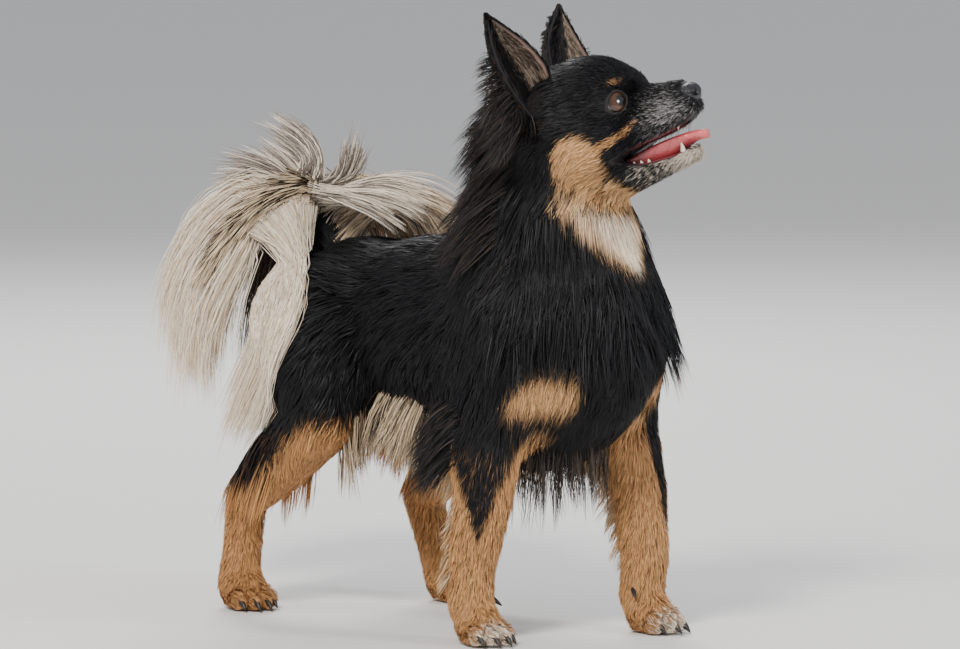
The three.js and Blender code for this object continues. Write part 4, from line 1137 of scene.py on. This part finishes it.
def lie_of(p):
    """The lie of the coat: back from the nose, down the neck and sides, and down the legs."""
    q = into_head(p)
    lie = np.zeros((len(p), 3))
    down = smooth(60, 30, p[:, 2] - 100)
    high = smooth(150, 195, p[:, 2])
    lie[:, 0] = -0.75 - 0.25 * high
    lie[:, 1] = 0.12 * np.sign(p[:, 1]) * high
    lie[:, 2] = -0.62 + 0.35 * high - 0.5 * down
    front = smooth(10, 60, p[:, 0])[:, None] * smooth(88, 112, p[:, 2])[:, None]
    lie = mix(
        lie, np.stack([np.full(len(p), -0.22), 0.10 * np.sign(p[:, 1]), np.full(len(p), -1.0)], axis=1),
        front,
    )
    leg = smooth(104, 84, p[:, 2])[:, None]
    lie = mix(lie, np.array([-0.22, 0, -1.0]), leg)
    toe = smooth(14, 8, p[:, 2])[:, None]
    lie = mix(lie, np.array([0.9, 0, -0.35]), toe)
    head = smooth(-6, 6, over_head_cut(p))[:, None]
    away = q - np.array([60, 0, -8])
    back = np.stack(
        [np.full(len(p), -1.0), away[:, 1] * 0.022, np.clip(away[:, 2] * 0.012, -0.35, 0.25)], axis=1
    )
    cheek = (smooth(14, -8, q[:, 0]) * smooth(-2, -18, q[:, 2]))[:, None]
    back = mix(
        back, np.stack([np.full(len(p), -0.75), 0.25 * np.sign(q[:, 1]), np.full(len(p), -0.9)], axis=1),
        cheek,
    )
    lie = mix(lie, back @ TURN.T, head)
    return unit(lie + rng.normal(0, 0.13, lie.shape))


def hue(paths, darker=0.6, jitter=0.16):
    """Colours of strands from the markings they cross, darker at the root."""
    count, rings = paths.shape[:2]
    scatter = np.repeat(rng.random(count), rings)
    base = marks(paths.reshape(-1, 3), scatter).reshape(count, rings, 3)
    vary = np.exp(rng.normal(0, jitter, (count, 1, 1)))
    fade = mix(darker, 1.05, np.linspace(0, 1, rings) ** 1.2)[None, :, None]
    return np.clip(base * vary * fade * (1 + rng.normal(0, 0.03, (count, 1, 3))), 0, 1)


def short_coat(
    name, source, per_mm2, keep, length, width, steps=3, top=0.6, clump=10, hold=0.35, wave=0.05,
    pace=None, limit=None, narrow=None,
):
    roots = roots_from(source, per_mm2 * THIN_OUT, keep, pace)
    if limit is not None:
        roots = roots[limit(roots)]
    measure = length(roots) * np.exp(rng.normal(0, 0.16, len(roots)))
    depth = np.maximum(-outer(roots), 0.4)
    paths = comb(
        roots, lie_of(roots), measure, steps, depth, top + rng.normal(0, 0.45, len(roots)), wave=wave
    )
    span_of = np.linalg.norm(paths[:, -1] - roots, axis=1)
    good = (outer(paths[:, -1]) < top + 3) & (span_of < measure * 1.5 + 4)
    if limit is not None:
        crossed = into_head(paths.reshape(-1, 3))
        for side in SIDES.values():
            near = np.linalg.norm(crossed - eye_place(side), axis=1) < 14
            gap = np.where(near, eye_opening(crossed, side), 9.0).reshape(len(paths), -1)
            good &= gap.min(axis=1) > 0.25
    paths, roots = gather(paths[good], clump, hold), roots[good]
    across = unit(slope(outer, roots))[:, None, :]
    colours = hue(paths)
    wide = width * np.exp(rng.normal(0, 0.2, len(roots))) * (narrow(roots) if narrow else 1)
    return strand_piece(
        name, paths, wide, across, rng.normal(0, 0.45, len(roots)), colours, None, HAIR
    )


def clear_of_face(p):
    """Roots on the hide but not on lid edges, lips, gums or nose, nor in the cup of an ear."""
    q = into_head(p)
    ok = (mouth(q) > 1.0) | (over_head_cut(p) < -10)
    for side in SIDES.values():
        near = np.linalg.norm(q - eye_place(side), axis=1) < 14
        ok &= ~near | (eye_opening(q, side) > 0.9)
        root, tip, axis, opening, across = ear_frame(side)
        r = q - root
        ok &= ~(
            (
                np.abs(r @ across) < 9
            ) & (r @ axis > -7) & (np.abs(r @ axis) < 12) & (r @ opening > -7) & (r @ opening < 5)
        )
    ok &= ellipsoid(q, NOSE_AT, (6.6, 7.6, 5.8)) > 0
    return ok


def face_length(p):
    q = into_head(p)
    long = mix(3.2, 8.0, smooth(30, -5, q[:, 0]))
    long = mix(long, 17, smooth(6, -14, q[:, 0]) * smooth(-8, -22, q[:, 2]))
    long = mix(long, 13, smooth(-12, -30, q[:, 0]))
    return mix(long, 2.6, smooth(26, 38, q[:, 0]))


def on_head_hide(c):
    return (over_head_cut(c) > -3).astype(float)


def face_pace(c):
    """Hair is thicker set towards the nose."""
    return mix(0.8, 2.6, smooth(8, 36, into_head(c)[:, 0]))


def face_narrow(c):
    """Hair is finer towards the nose."""
    return mix(1.0, 0.62, smooth(20, 38, into_head(c)[:, 0]))


short_coat(
    "coat_face", head_mesh, 2.6, on_head_hide, face_length, 0.43, 2, 0.25, 9, 0.22,
    limit=clear_of_face, pace=face_pace, narrow=face_narrow,
)


def on_leg(front, side):
    def keep(c):
        own = (c[:, 2] < 108) & ((c[:, 0] > -10) if front else (c[:, 0] < -34)) & (np.sign(c[:, 1]) == side)
        return own & (body(c) > -3) & (np.abs(c[:, 1]) > 12) & (c[:, 2] > 2.0)
    return keep


def leg_length(p):
    return mix(4.0, mix(6.5, 13, smooth(70, 104, p[:, 2])), smooth(8, 30, p[:, 2]))


def leg_pace(c):
    """Hair is thicker set over the paws."""
    return mix(1.7, 0.85, smooth(14, 40, c[:, 2]))


for label, front in (("foreleg", True), ("hindleg", False)):
    for name, side in SIDES.items():
        short_coat(
            "coat_" + label + "_" + name, trunk_mesh, 1.8, on_leg(
                front, side
            ), leg_length, 0.52,
            2, 0.4, 10, 0.3, pace=leg_pace,
        )


def trunk_length(p):
    ruff = smooth(-10, 14, over_neck_cut(p))
    long = mix(20, 30, ruff)
    return mix(long, 16, smooth(120, 98, p[:, 2]) * (1 - ruff))


def trunk_keep(side):
    def keep(c):
        low = (c[:, 2] > 94) | ((c[:, 0] > -36) & (c[:, 0] < -4)) | (np.abs(c[:, 1]) < 22)
        return low & (over_head_cut(c) < 2) & (over_neck_cut(c) < 4) & (np.sign(c[:, 1]) == side)
    return keep


def neck_keep(side):
    def keep(c):
        own = (c[:, 2] > 90) & (np.sign(c[:, 1]) == side)
        return own & (over_neck_cut(c) >= 2) & (over_head_cut(c) < 6)
    return keep


for name, side in SIDES.items():
    short_coat(
        "coat_trunk_" + name, trunk_mesh, 0.8, trunk_keep(side), trunk_length, 0.74,
        3, 0.9, 22, 0.5, 0.10,
    )
    short_coat(
        "coat_neck_" + name, trunk_mesh, 0.95, neck_keep(side), trunk_length, 0.65,
        4, 1.8, 22, 0.55, 0.14,
    )


# Long free hair: feathers, fringes and ruff

def hanging(
    name, roots, lie, length, width, steps, slot, root, tip, droop=0.6, rise=0.3, wave=0.25, clump=12,
    hold=0.7, stand=2.0,
):
    """Strands that leave the hide, hang free and stay outside it."""
    count = len(roots)
    g = unit(slope(outer, roots))
    heading = unit(unit(lie) + g * rise + rng.normal(0, 0.10, (count, 3)))
    bend = rng.normal(0, 1, (count, 3)) * wave
    paths, p = [roots], roots
    for i in range(1, steps + 1):
        s = i / steps
        heading = unit(heading + np.array([0, 0, -droop / steps]) + bend * (s - 0.5) / steps)
        p = p + heading * (length / steps)[:, None]
        height = outer(p)
        lift = np.minimum(stand, 3.0 * s) - height
        p = p + unit(slope(outer, p)) * np.maximum(0, lift)[:, None]
        p[:, 2] = np.maximum(p[:, 2], 1.5)
        paths.append(p)
    paths = gather(np.stack(paths, axis=1), clump, hold)
    if root is None:
        root = hue(paths)
    across = g[:, None, :] * np.ones((1, steps + 1, 1))
    return strand_piece(name, paths, width, across, rng.normal(0, 0.7, count), root, tip, HAIR)


def tones(count, first, second, share=0.5, jitter=0.18, darker=0.6):
    pick = (rng.random((count, 1)) < share).astype(float)
    base = mix(first, second, np.clip(pick + rng.normal(0, 0.15, (count, 1)), 0, 1))
    base = base * np.exp(rng.normal(0, jitter, (count, 1)))
    return base * darker, np.clip(base, 0, 1)


def pick(count, where):
    """Random roots on the hide within a region."""
    inside = both[where(both)]
    chosen = inside[rng.integers(0, len(inside), count)]
    return chosen + rng.normal(0, 1.2, chosen.shape)


def fringe(name, count, where, lie, low, high, width, steps, slot, colour, **more):
    roots = pick(count, where)
    length = rng.uniform(low, high, count)
    root, tip = (None, None) if colour is None else tones(count, *colour)
    wide = width * np.exp(rng.normal(0, 0.22, count))
    return hanging(
        name, roots, np.tile(np.asarray(lie, float), (count, 1)), length, wide, steps, slot, root, tip,
        **more,
    )


def region(x=(-999, 999), y=(-999, 999), z=(-999, 999), side=0, slant=0.0):
    """Picks points within ranges. y counts from the middle, or towards a side where one is given, and the
    front limit of x leans with the height by `slant`."""
    def inside(v):
        across = v[:, 1] * side if side else np.abs(v[:, 1])
        front = x[1] + (150 - v[:, 2]) * slant
        along = (v[:, 0] > x[0]) & (v[:, 0] < front)
        return along & (across > y[0]) & (across < y[1]) & (v[:, 2] > z[0]) & (v[:, 2] < z[1])
    return inside


fringe(
    "fringe_belly", 4200, region((-74, 10), (8, 43), (80, 112)), (-0.35, 0, -1), 18, 40, 0.55, 4,
    "cream_coat", (CREAM, SOOT * 3, 0.25), droop=0.3, stand=0.5,
)
fringe(
    "fringe_brisket", 620, region((30, 84), (-1, 26), (-999, 100)), (-0.1, 0, -1), 10, 38, 0.4, 4,
    "black_coat", (SOOT, SOOT * 3, 0.4), droop=0.3, stand=0.5, wave=0.7, hold=0.85,
)
for name, side in SIDES.items():
    fringe(
        "fringe_elbow_" + name, 2400, region((4, 46), (34, 999), (92, 118), side), (-1.0, 0, -0.45),
        22, 42, 0.6, 5, "black_coat", (BLACK, SOOT * 2, 0.2), rise=0.15,
    )
    front = 34 if side < 0 else 50
    fringe(
        "fringe_foreleg_" + name, 1500, region((10, front), (24, 999), (34, 96), side), (-0.85, 0, -0.7),
        8, 17, 0.5, 3, "tan_coat", (PALE_TAN, CREAM, 0.4), rise=0.1,
    )
    fringe(
        "fringe_breeches_" + name, 3200, region(
            (-999, -112), (4, 999), (72, 150), side, 0.1
        ), (-0.4, 0, -1),
        22, 38, 0.6, 5, "black_coat", None, rise=0.15,
    )
    fringe(
        "fringe_chest_" + name, 2600, region(
            (58, 999), (-2, 999), (150, 215), side
        ), (0.12, 0.15 * side, -1),
        22, 40, 0.5, 5, "black_coat", None, rise=0.30, wave=0.4,
    )
    fringe(
        "fringe_flank_" + name, 1500, region((-64, -24), (26, 999), (92, 118), side), (-0.7, 0, -0.8),
        22, 40, 0.55, 4, "cream_coat", (CREAM, SOOT * 2, 0.4), rise=0.2,
    )
    fringe(
        "fringe_nape_" + name, 3000, region(
            (-999, 50), (2, 999), (196, 999), side
        ), (-0.8, 0.25 * side, -0.7),
        22, 44, 0.5, 6, "black_coat", (BLACK, SOOT * 1.3, 0.5), rise=0.45, wave=0.5, hold=0.8,
    )
fringe(
    "fringe_rump", 1800, region((-999, -128), (-1, 26), (110, 168)), (-0.4, 0, -1), 24, 46, 0.6, 5,
    "cream_coat", (CREAM, PLUME_GREY, 0.35), rise=0.2,
)

# The plume: long hair in sheets that leave the bone, arch over and fall

# Each sheet: strands, stretch of the bone that carries it, tones, spread of its ends, and guide lines
# across it, each from the bone outwards
PLUME = {
    "left": (5200, (0.55, 1.0), (WHITE, CREAM * 0.8, 0.3), 8, [
        [(-120, -12, 210), (-163, -18, 214), (-194, -32, 198), (-199, -46, 168), (-193, -54, 136)],
        [(-118, -16, 208), (-152, -26, 207), (-178, -42, 184), (-182, -55, 150), (-176, -60, 116)],
        [(-116, -20, 206), (-140, -32, 200), (-160, -50, 176), (-166, -60, 142), (-160, -64, 104)],
        [(-114, -24, 205), (-128, -38, 194), (-142, -54, 170), (-152, -62, 140), (-152, -64, 112)],
    ]),
    "right": (3600, (0.45, 0.8), (WHITE, CREAM * 0.8, 0.3), 5, [
        [(-118, -18, 207), (-112, -36, 178), (-116, -54, 146), (-125, -62, 116), (-138, -64, 87)],
        [(-110, -18, 207), (-100, -36, 177), (-102, -54, 145), (-111, -62, 115), (-128, -64, 84)],
        [(-102, -18, 205), (-90, -36, 177), (-90, -54, 145), (-98, -62, 116), (-117, -64, 93)],
    ]),
    "top_left": (900, (0.4, 0.6), (WHITE, PLUME_GREY, 0.5), 3, [
        [(-123, -10, 210), (-128, -10, 227), (-139, -12, 241), (-164, -14, 250)],
        [(-124, -10, 210), (-133, -11, 222), (-146, -13, 232), (-166, -15, 240)],
    ]),
    "top_rear": (1300, (0.35, 0.7), (PLUME_GREY, WHITE, 0.45), 4, [
        [(-124, -12, 210), (-135, -12, 216), (-146, -12, 227), (-160, -14, 237)],
        [(-124, -12, 210), (-148, -14, 217), (-172, -16, 223), (-197, -20, 226)],
        [(-122, -12, 209), (-150, -16, 214), (-176, -22, 214), (-200, -28, 206)],
    ]),
    "upright": (420, (0.3, 0.45), (PLUME_GREY, WHITE, 0.35), 3, [
        [(-122, -8, 210), (-115, -8, 221), (-112, -8, 231), (-109, -8, 243)],
        [(-118, -6, 210), (-107, -4, 219), (-102, -3, 228), (-98, -2, 236)],
    ]),
    "forward": (800, (0.25, 0.5), (WHITE, PLUME_GREY, 0.3), 4, [
        [(-118, -10, 209), (-94, -9, 216), (-66, -8, 219), (-36, -6, 213)],
        [(-116, -13, 208), (-92, -12, 212), (-66, -13, 211), (-40, -14, 204)],
        [(-116, -13, 208), (-94, -16, 208), (-72, -18, 205), (-48, -20, 198)],
    ]),
    "far": (3400, (0.1, 0.6), (CREAM, PLUME_GREY, 0.4), 8, [
        [(-118, 2, 208), (-92, 12, 214), (-70, 24, 204), (-58, 34, 186)],
        [(-120, 4, 208), (-112, 22, 212), (-104, 42, 190), (-104, 52, 150)],
        [(-124, 4, 208), (-140, 20, 214), (-142, 40, 186), (-140, 48, 136)],
        [(-128, 0, 208), (-162, 10, 210), (-178, 24, 180), (-176, 34, 128)],
        [(-126, -6, 208), (-160, -6, 214), (-192, -8, 196), (-194, -10, 140)],
    ]),
    "under": (2600, (0.0, 0.5), (SOOT * 2, PLUME_GREY, 0.5), 7, [
        [(-130, 8, 190), (-146, 12, 184), (-158, 14, 160), (-156, 14, 128)],
        [(-132, -2, 190), (-152, -6, 186), (-166, -10, 158), (-164, -12, 116)],
        [(-130, -12, 194), (-146, -24, 186), (-150, -34, 160), (-148, -38, 120)],
    ]),
}


def along_guides(guides, u, count):
    """A smooth path for each u between the first guide line (0) and the last (1)."""
    lines = np.array([curve_through(guide, count) for guide in guides])
    at = np.clip(u, 0, 1) * (len(lines) - 1)
    k = np.minimum(at.astype(int), len(lines) - 2)
    return mix(lines[k], lines[k + 1], (at - k)[:, None, None])


def wisps(paths, size, strength, where=0.6):
    """Draws strands together towards their tips, sheet by sheet, whatever their roots."""
    count = max(5, len(paths) // size)
    chosen = rng.choice(len(paths), count, replace=False)
    middle = int(where * (paths.shape[1] - 1))
    tree = KDTree(count)
    for i, at in enumerate(paths[chosen, middle]):
        tree.insert(at, i)
    tree.balance()
    near = np.array([tree.find(at)[1] for at in paths[:, middle]])
    s = np.linspace(0, 1, paths.shape[1])[None, :, None]
    return paths + (paths[chosen][near] - paths) * np.clip(s * 1.25, 0, 1) ** 1.6 * strength


STEPS = 9
for name, (count, reach, tone, loose, guides) in PLUME.items():
    u = rng.random(count)
    paths = along_guides(guides, u, STEPS)
    s = np.linspace(0, 1, STEPS)[None, :, None]
    at = np.clip(
        mix(reach[0], reach[1], np.clip(u + rng.normal(0, 0.1, count), 0, 1)), 0, 1
    ) * (len(tail_line) - 1)
    k = np.minimum(at.astype(int), len(tail_line) - 2)
    middle = mix(tail_line[k], tail_line[k + 1], (at - k)[:, None])
    root = middle[:, :3] + unit(rng.normal(0, 1, (count, 3)) + [0, -0.3, 0.6]) * middle[:, 3:] * 0.8
    paths = paths + (root - paths[:, 0])[:, None] * (1 - np.clip(s * 2.2, 0, 1)) ** 1.5
    thick = rng.normal(0, 1, (count, 1, 3)) * [1.0, 0.8, 1.0]
    paths = paths + thick * (1.2 + loose * s**1.4) * np.clip(s * 4, 0, 1)
    paths = paths + np.sin(s * 6 + rng.random((count, 1, 1)) * 6) * rng.normal(0, 0.8, (count, 1, 3)) * s
    stop = rng.beta(3.6, 1.15, count)
    grid = np.linspace(0, 1, STEPS)
    lower = stop[:, None] * grid[None, :] * (STEPS - 1)
    base = np.minimum(lower.astype(int), STEPS - 2)
    rows = np.arange(count)[:, None]
    paths = mix(paths[rows, base], paths[rows, base + 1], (lower - base)[:, :, None])
    paths = wisps(paths, 34, 0.42)
    height = outer(paths.reshape(-1, 3)).reshape(count, STEPS)
    away = unit(slope(outer, paths.reshape(-1, 3))).reshape(paths.shape)
    stand = np.minimum(3.0, 14 * grid)[None, :] * rng.uniform(0.6, 1.6, (count, 1))
    paths = paths + away * (np.maximum(0, stand - height) * (grid > 0.16))[:, :, None]
    root_tone, tip_tone = tones(count, *tone, jitter=0.12, darker=0.78)
    sight = unit(rng.normal(0, 0.5, (count, 1, 3)) + [0.5, -0.8, 0.4])
    wide = 0.62 * np.exp(rng.normal(0, 0.25, count))
    strand_piece(
        "plume_" + name, paths, wide, sight * np.ones((1, STEPS, 1)), np.zeros(count), root_tone, tip_tone,
        HAIR,
    )

# Short hair that clothes the bone of the tail
count = 5200
at = rng.random(count) * (len(tail_line) - 1.01)
k = at.astype(int)
middle = mix(tail_line[k], tail_line[k + 1], (at - k)[:, None])
along = unit(tail_line[k + 1, :3] - tail_line[k, :3])
out = unit(np.cross(along, rng.normal(0, 1, (count, 3))))
s = np.linspace(0, 1, 5)[None, :, None]
start = middle[:, :3] + out * middle[:, 3:] * 0.8
lean = unit(along * 0.9 + out * 0.35 + [0, 0, 0.05])
paths = start[:, None] + lean[:, None] * s * rng.uniform(
    9, 18, (count, 1, 1)
) - np.array([0, 0, 3.0]) * s * s
root_tone, tip_tone = tones(count, CREAM, SOOT, 0.35, darker=0.6)
dark = smooth(0.5, 0.2, at / len(tail_line))[:, None]
root_tone, tip_tone = mix(root_tone, BLACK, dark), mix(tip_tone, BLACK, dark)
strand_piece(
    "plume_bone", paths, np.full(count, 0.8), out[:, None, :], rng.normal(0, 0.4, count), root_tone,
    tip_tone, HAIR,
)

# Hair of the ears: short on the back, long at the root and edges, pale inside

for name, side in SIDES.items():
    count = 4200
    s, t = rng.random(count) ** 0.8, rng.uniform(-1, 1, count)
    back = from_head(ear_point(side, s, t))
    ahead = from_head(ear_point(side, np.minimum(s + 0.08, 1.0), t))
    inner_point = from_head(ear_point(side, s, t, 1))
    out = unit(back - inner_point)
    lie = unit(unit(ahead - back) + out * 0.12 + rng.normal(0, 0.08, (count, 3)))
    length = mix(8, 3.6, s)
    steps = np.linspace(0, 1, 4)[None, :, None]
    paths = back[:, None] + lie[:, None] * length[:, None, None] * steps + out[:, None] * (
        0.15 + 0.5 * np.sin(steps * 3.0)
    )
    root, tip = tones(count, BLACK, SOOT, 0.35, darker=0.7)
    low = ((s < 0.10) & (t * side > 0.45))[:, None]
    tip = np.where(low, mix(tip, TAN, 0.5), tip)
    strand_piece(
        "coat_ear_" + name, paths, np.full(count, 0.6), out[:, None, :], rng.normal(0, 0.4, count), root,
        tip, HAIR,
    )
    # Hair inside: black over the rear half, thin and pale along the front edge
    for label, count, low, high, first, second, share, long, wide in (
        ("dark", 3800, -0.38, 1.0, BLACK, SOOT, 0.3, 12, 0.5),
        ("pale", 2600, -1.0, -0.25, mix(SILVER, PALE_TAN, 0.4) * 0.7, SOOT * 2, 0.45, 8, 0.34),
    ):
        s = rng.random(count) ** 0.9 * 0.95
        t = -rng.uniform(low, high, count)
        start = from_head(ear_point(side, s, t, 1))
        ahead = from_head(ear_point(side, np.minimum(s + 0.06, 1.0), t, 1))
        back_of = from_head(ear_point(side, s, t, 0))
        up = unit(start - back_of)
        lie = unit(unit(ahead - start) + up * 0.22 + rng.normal(0, 0.12, (count, 3)))
        length = mix(long, long * 0.4, s) * rng.uniform(0.7, 1.2, count)
        steps = np.linspace(0, 1, 4)[None, :, None]
        paths = start[:, None] + lie[:, None] * length[:, None, None] * steps
        paths = gather(paths, 8, 0.4)
        root, tip = tones(count, first, second, share, darker=0.7)
        strand_piece(
            "fringe_ear_" + label + "_" + name, paths, np.full(count, wide), up[:, None, :],
            rng.normal(0, 0.5, count), root, tip, HAIR,
        )
    # Long hair from the outer edge and round the root, over the fold of the ear
    count = 2600
    s = rng.beta(0.9, 1.8, count) * 0.85 - 0.12
    t = np.where(
        rng.random(count) < 0.6, rng.uniform(0.5, 1.0, count), rng.uniform(-1.0, 0.5, count)
    ) * side
    root_only = t * side < 0.5
    s = np.where(root_only, rng.uniform(-0.15, 0.1, count), s)
    lip = rng.random(count) < 0.25
    t = np.where(lip, side * np.sign(rng.uniform(-1, 1, count)) * rng.uniform(0.93, 1.0, count), t)
    s = np.where(lip, rng.random(count), s)
    start = from_head(ear_point(side, s, t, 0.3))
    ahead = from_head(ear_point(side, np.minimum(s + 0.1, 1.0), t, 0.3))
    heart = from_head(mix(*[np.array(v) * [1, side, 1] for v in (EAR_ROOT, EAR_TIP)], s[:, None]))
    out = unit(start - heart)
    lie = unit(
        unit(ahead - start) * mix(
            0.1, 0.8, np.clip(s, 0, 1)
        )[:, None] + out * 0.7 + [-0.25, 0, -0.1] + rng.normal(0, 0.18, (count, 3))
    )
    length = mix(26, 7, np.clip(s * 1.3, 0, 1)) * rng.uniform(0.5, 1.1, count)
    length = np.where(root_only, length * 0.5, length)
    length = np.where(lip, rng.uniform(2.5, 5.5, count), length)
    steps = np.linspace(0, 1, 5)[None, :, None]
    paths = start[:, None] + lie[:, None] * length[:, None, None] * steps + np.array(
        [-0.1, 0, -0.35]
    ) * steps**2 * length[:, None, None]
    paths = gather(paths, 12, 0.7)
    root, tip = tones(count, BLACK, SOOT * 1.4, 0.5, darker=0.6)
    strand_piece(
        "fringe_ear_edge_" + name, paths, np.full(count, 0.45), out[:, None, :], rng.normal(0, 0.6, count),
        root, tip, HAIR,
    )

# Tufts that cover the fold where each ear meets the cheek
for name, side in SIDES.items():
    count = 2400
    s = rng.uniform(-0.2, 0.22, count)
    t = rng.uniform(0.1, 1.0, count) * side
    start = from_head(ear_point(side, s, t, 1.0))
    lie = unit(rng.normal(0, 0.16, (count, 3)) + TURN @ np.array([-0.25, 0.55 * side, -0.8]))
    steps = np.linspace(0, 1, 4)[None, :, None]
    paths = start[:, None] + lie[:, None] * rng.uniform(7, 17, (count, 1, 1)) * steps
    paths = gather(paths, 10, 0.5)
    root, tip = tones(count, BLACK, SOOT, 0.25, darker=0.7)
    tan = ((s > 0.02) & (s < 0.12) & (t * side < 0.55))[:, None]
    tip = np.where(tan, mix(tip, TAN, 0.6), tip)
    strand_piece(
        "fringe_ear_root_" + name, paths, np.full(count, 0.45), unit(start - HEAD_AT)[:, None, :],
        rng.normal(0, 0.6, count), root, tip, HAIR,
    )

# Whiskers
paths = []
for side in SIDES.values():
    for k in range(9):
        row, place = divmod(k, 3)
        start = from_head([[47 - 4.5 * place, (7.5 + place * 1.1) * side, -12 - row * 2.6]])[0]
        heading = unit(
            TURN @ np.array(
                [
                    0.25 - 0.25 * place, side * (0.8 + rng.normal(0, 0.1)),
                    -0.45 - 0.22 * row + rng.normal(0, 0.08),
                ]
            )
        )
        s = np.linspace(0, 1, 9)[:, None]
        length = rng.uniform(12, 19)
        paths.append(
            start + heading * length * s + np.array([0, 0, -1.0]) * 6 * s * s - TURN[:, 0] * 8 * s * s
        )
whisker_tubes = merged([tube(path, 0.17 * np.linspace(1, 0.2, 9), 6) for path in paths])
whiskers = mesh_object("whiskers", *whisker_tubes)
paint(whiskers, np.tile(SOOT, (len(whiskers.data.vertices), 1)))
dressed(whiskers, CLAW, "black_coat")

# Floor, light and camera

def place_mm(x, y, z):
    return Vector((np.array([x, y, z], float) + SHIFT) * MM)


floor_material, nodes, links, shader = material("Floor", Base_Color=(0.80, 0.79, 0.77, 1), Roughness=0.85)
bpy.ops.mesh.primitive_plane_add(size=60, location=(0, 0, 0))
floor = bpy.context.object
floor.name = "floor"
floor.data.materials.append(floor_material)

world = bpy.data.worlds.new("Studio")
bpy.context.scene.world = world
world.use_nodes = True
world.node_tree.nodes["Background"].inputs["Color"].default_value = (0.93, 0.95, 1.0, 1)
world.node_tree.nodes["Background"].inputs["Strength"].default_value = 0.6


def soft_light(name, at, aim, size, power, colour=(1, 1, 1)):
    lamp = bpy.data.lights.new(name, "AREA")
    lamp.shape = "DISK"
    lamp.size = size
    lamp.energy = power
    lamp.color = colour
    made = bpy.data.objects.new(name, lamp)
    made.location = at
    made.rotation_euler = (Vector(aim) - Vector(at)).to_track_quat("-Z", "Y").to_euler()
    bpy.context.scene.collection.objects.link(made)


soft_light("key", (0.9, -1.5, 1.6), (0, 0, 0.14), 0.5, 50, (1.0, 0.96, 0.90))
soft_light("fill", (1.9, 0.7, 0.9), (0, 0, 0.15), 0.4, 16, (0.93, 0.96, 1.0))
soft_light("rim", (-1.4, 0.9, 1.5), (0, 0, 0.18), 0.8, 30)

lens = bpy.data.cameras.new("photo")
lens.lens = 228.095
lens.sensor_width = 36
lens.clip_start = 0.05
camera = bpy.data.objects.new("photo", lens)
camera.location = place_mm(2292.72, -1934.81, 410)
camera.rotation_euler = (place_mm(-5.41, -6.45, 151) - camera.location).to_track_quat("-Z", "Y").to_euler()
bpy.context.scene.collection.objects.link(camera)
bpy.context.scene.camera = camera
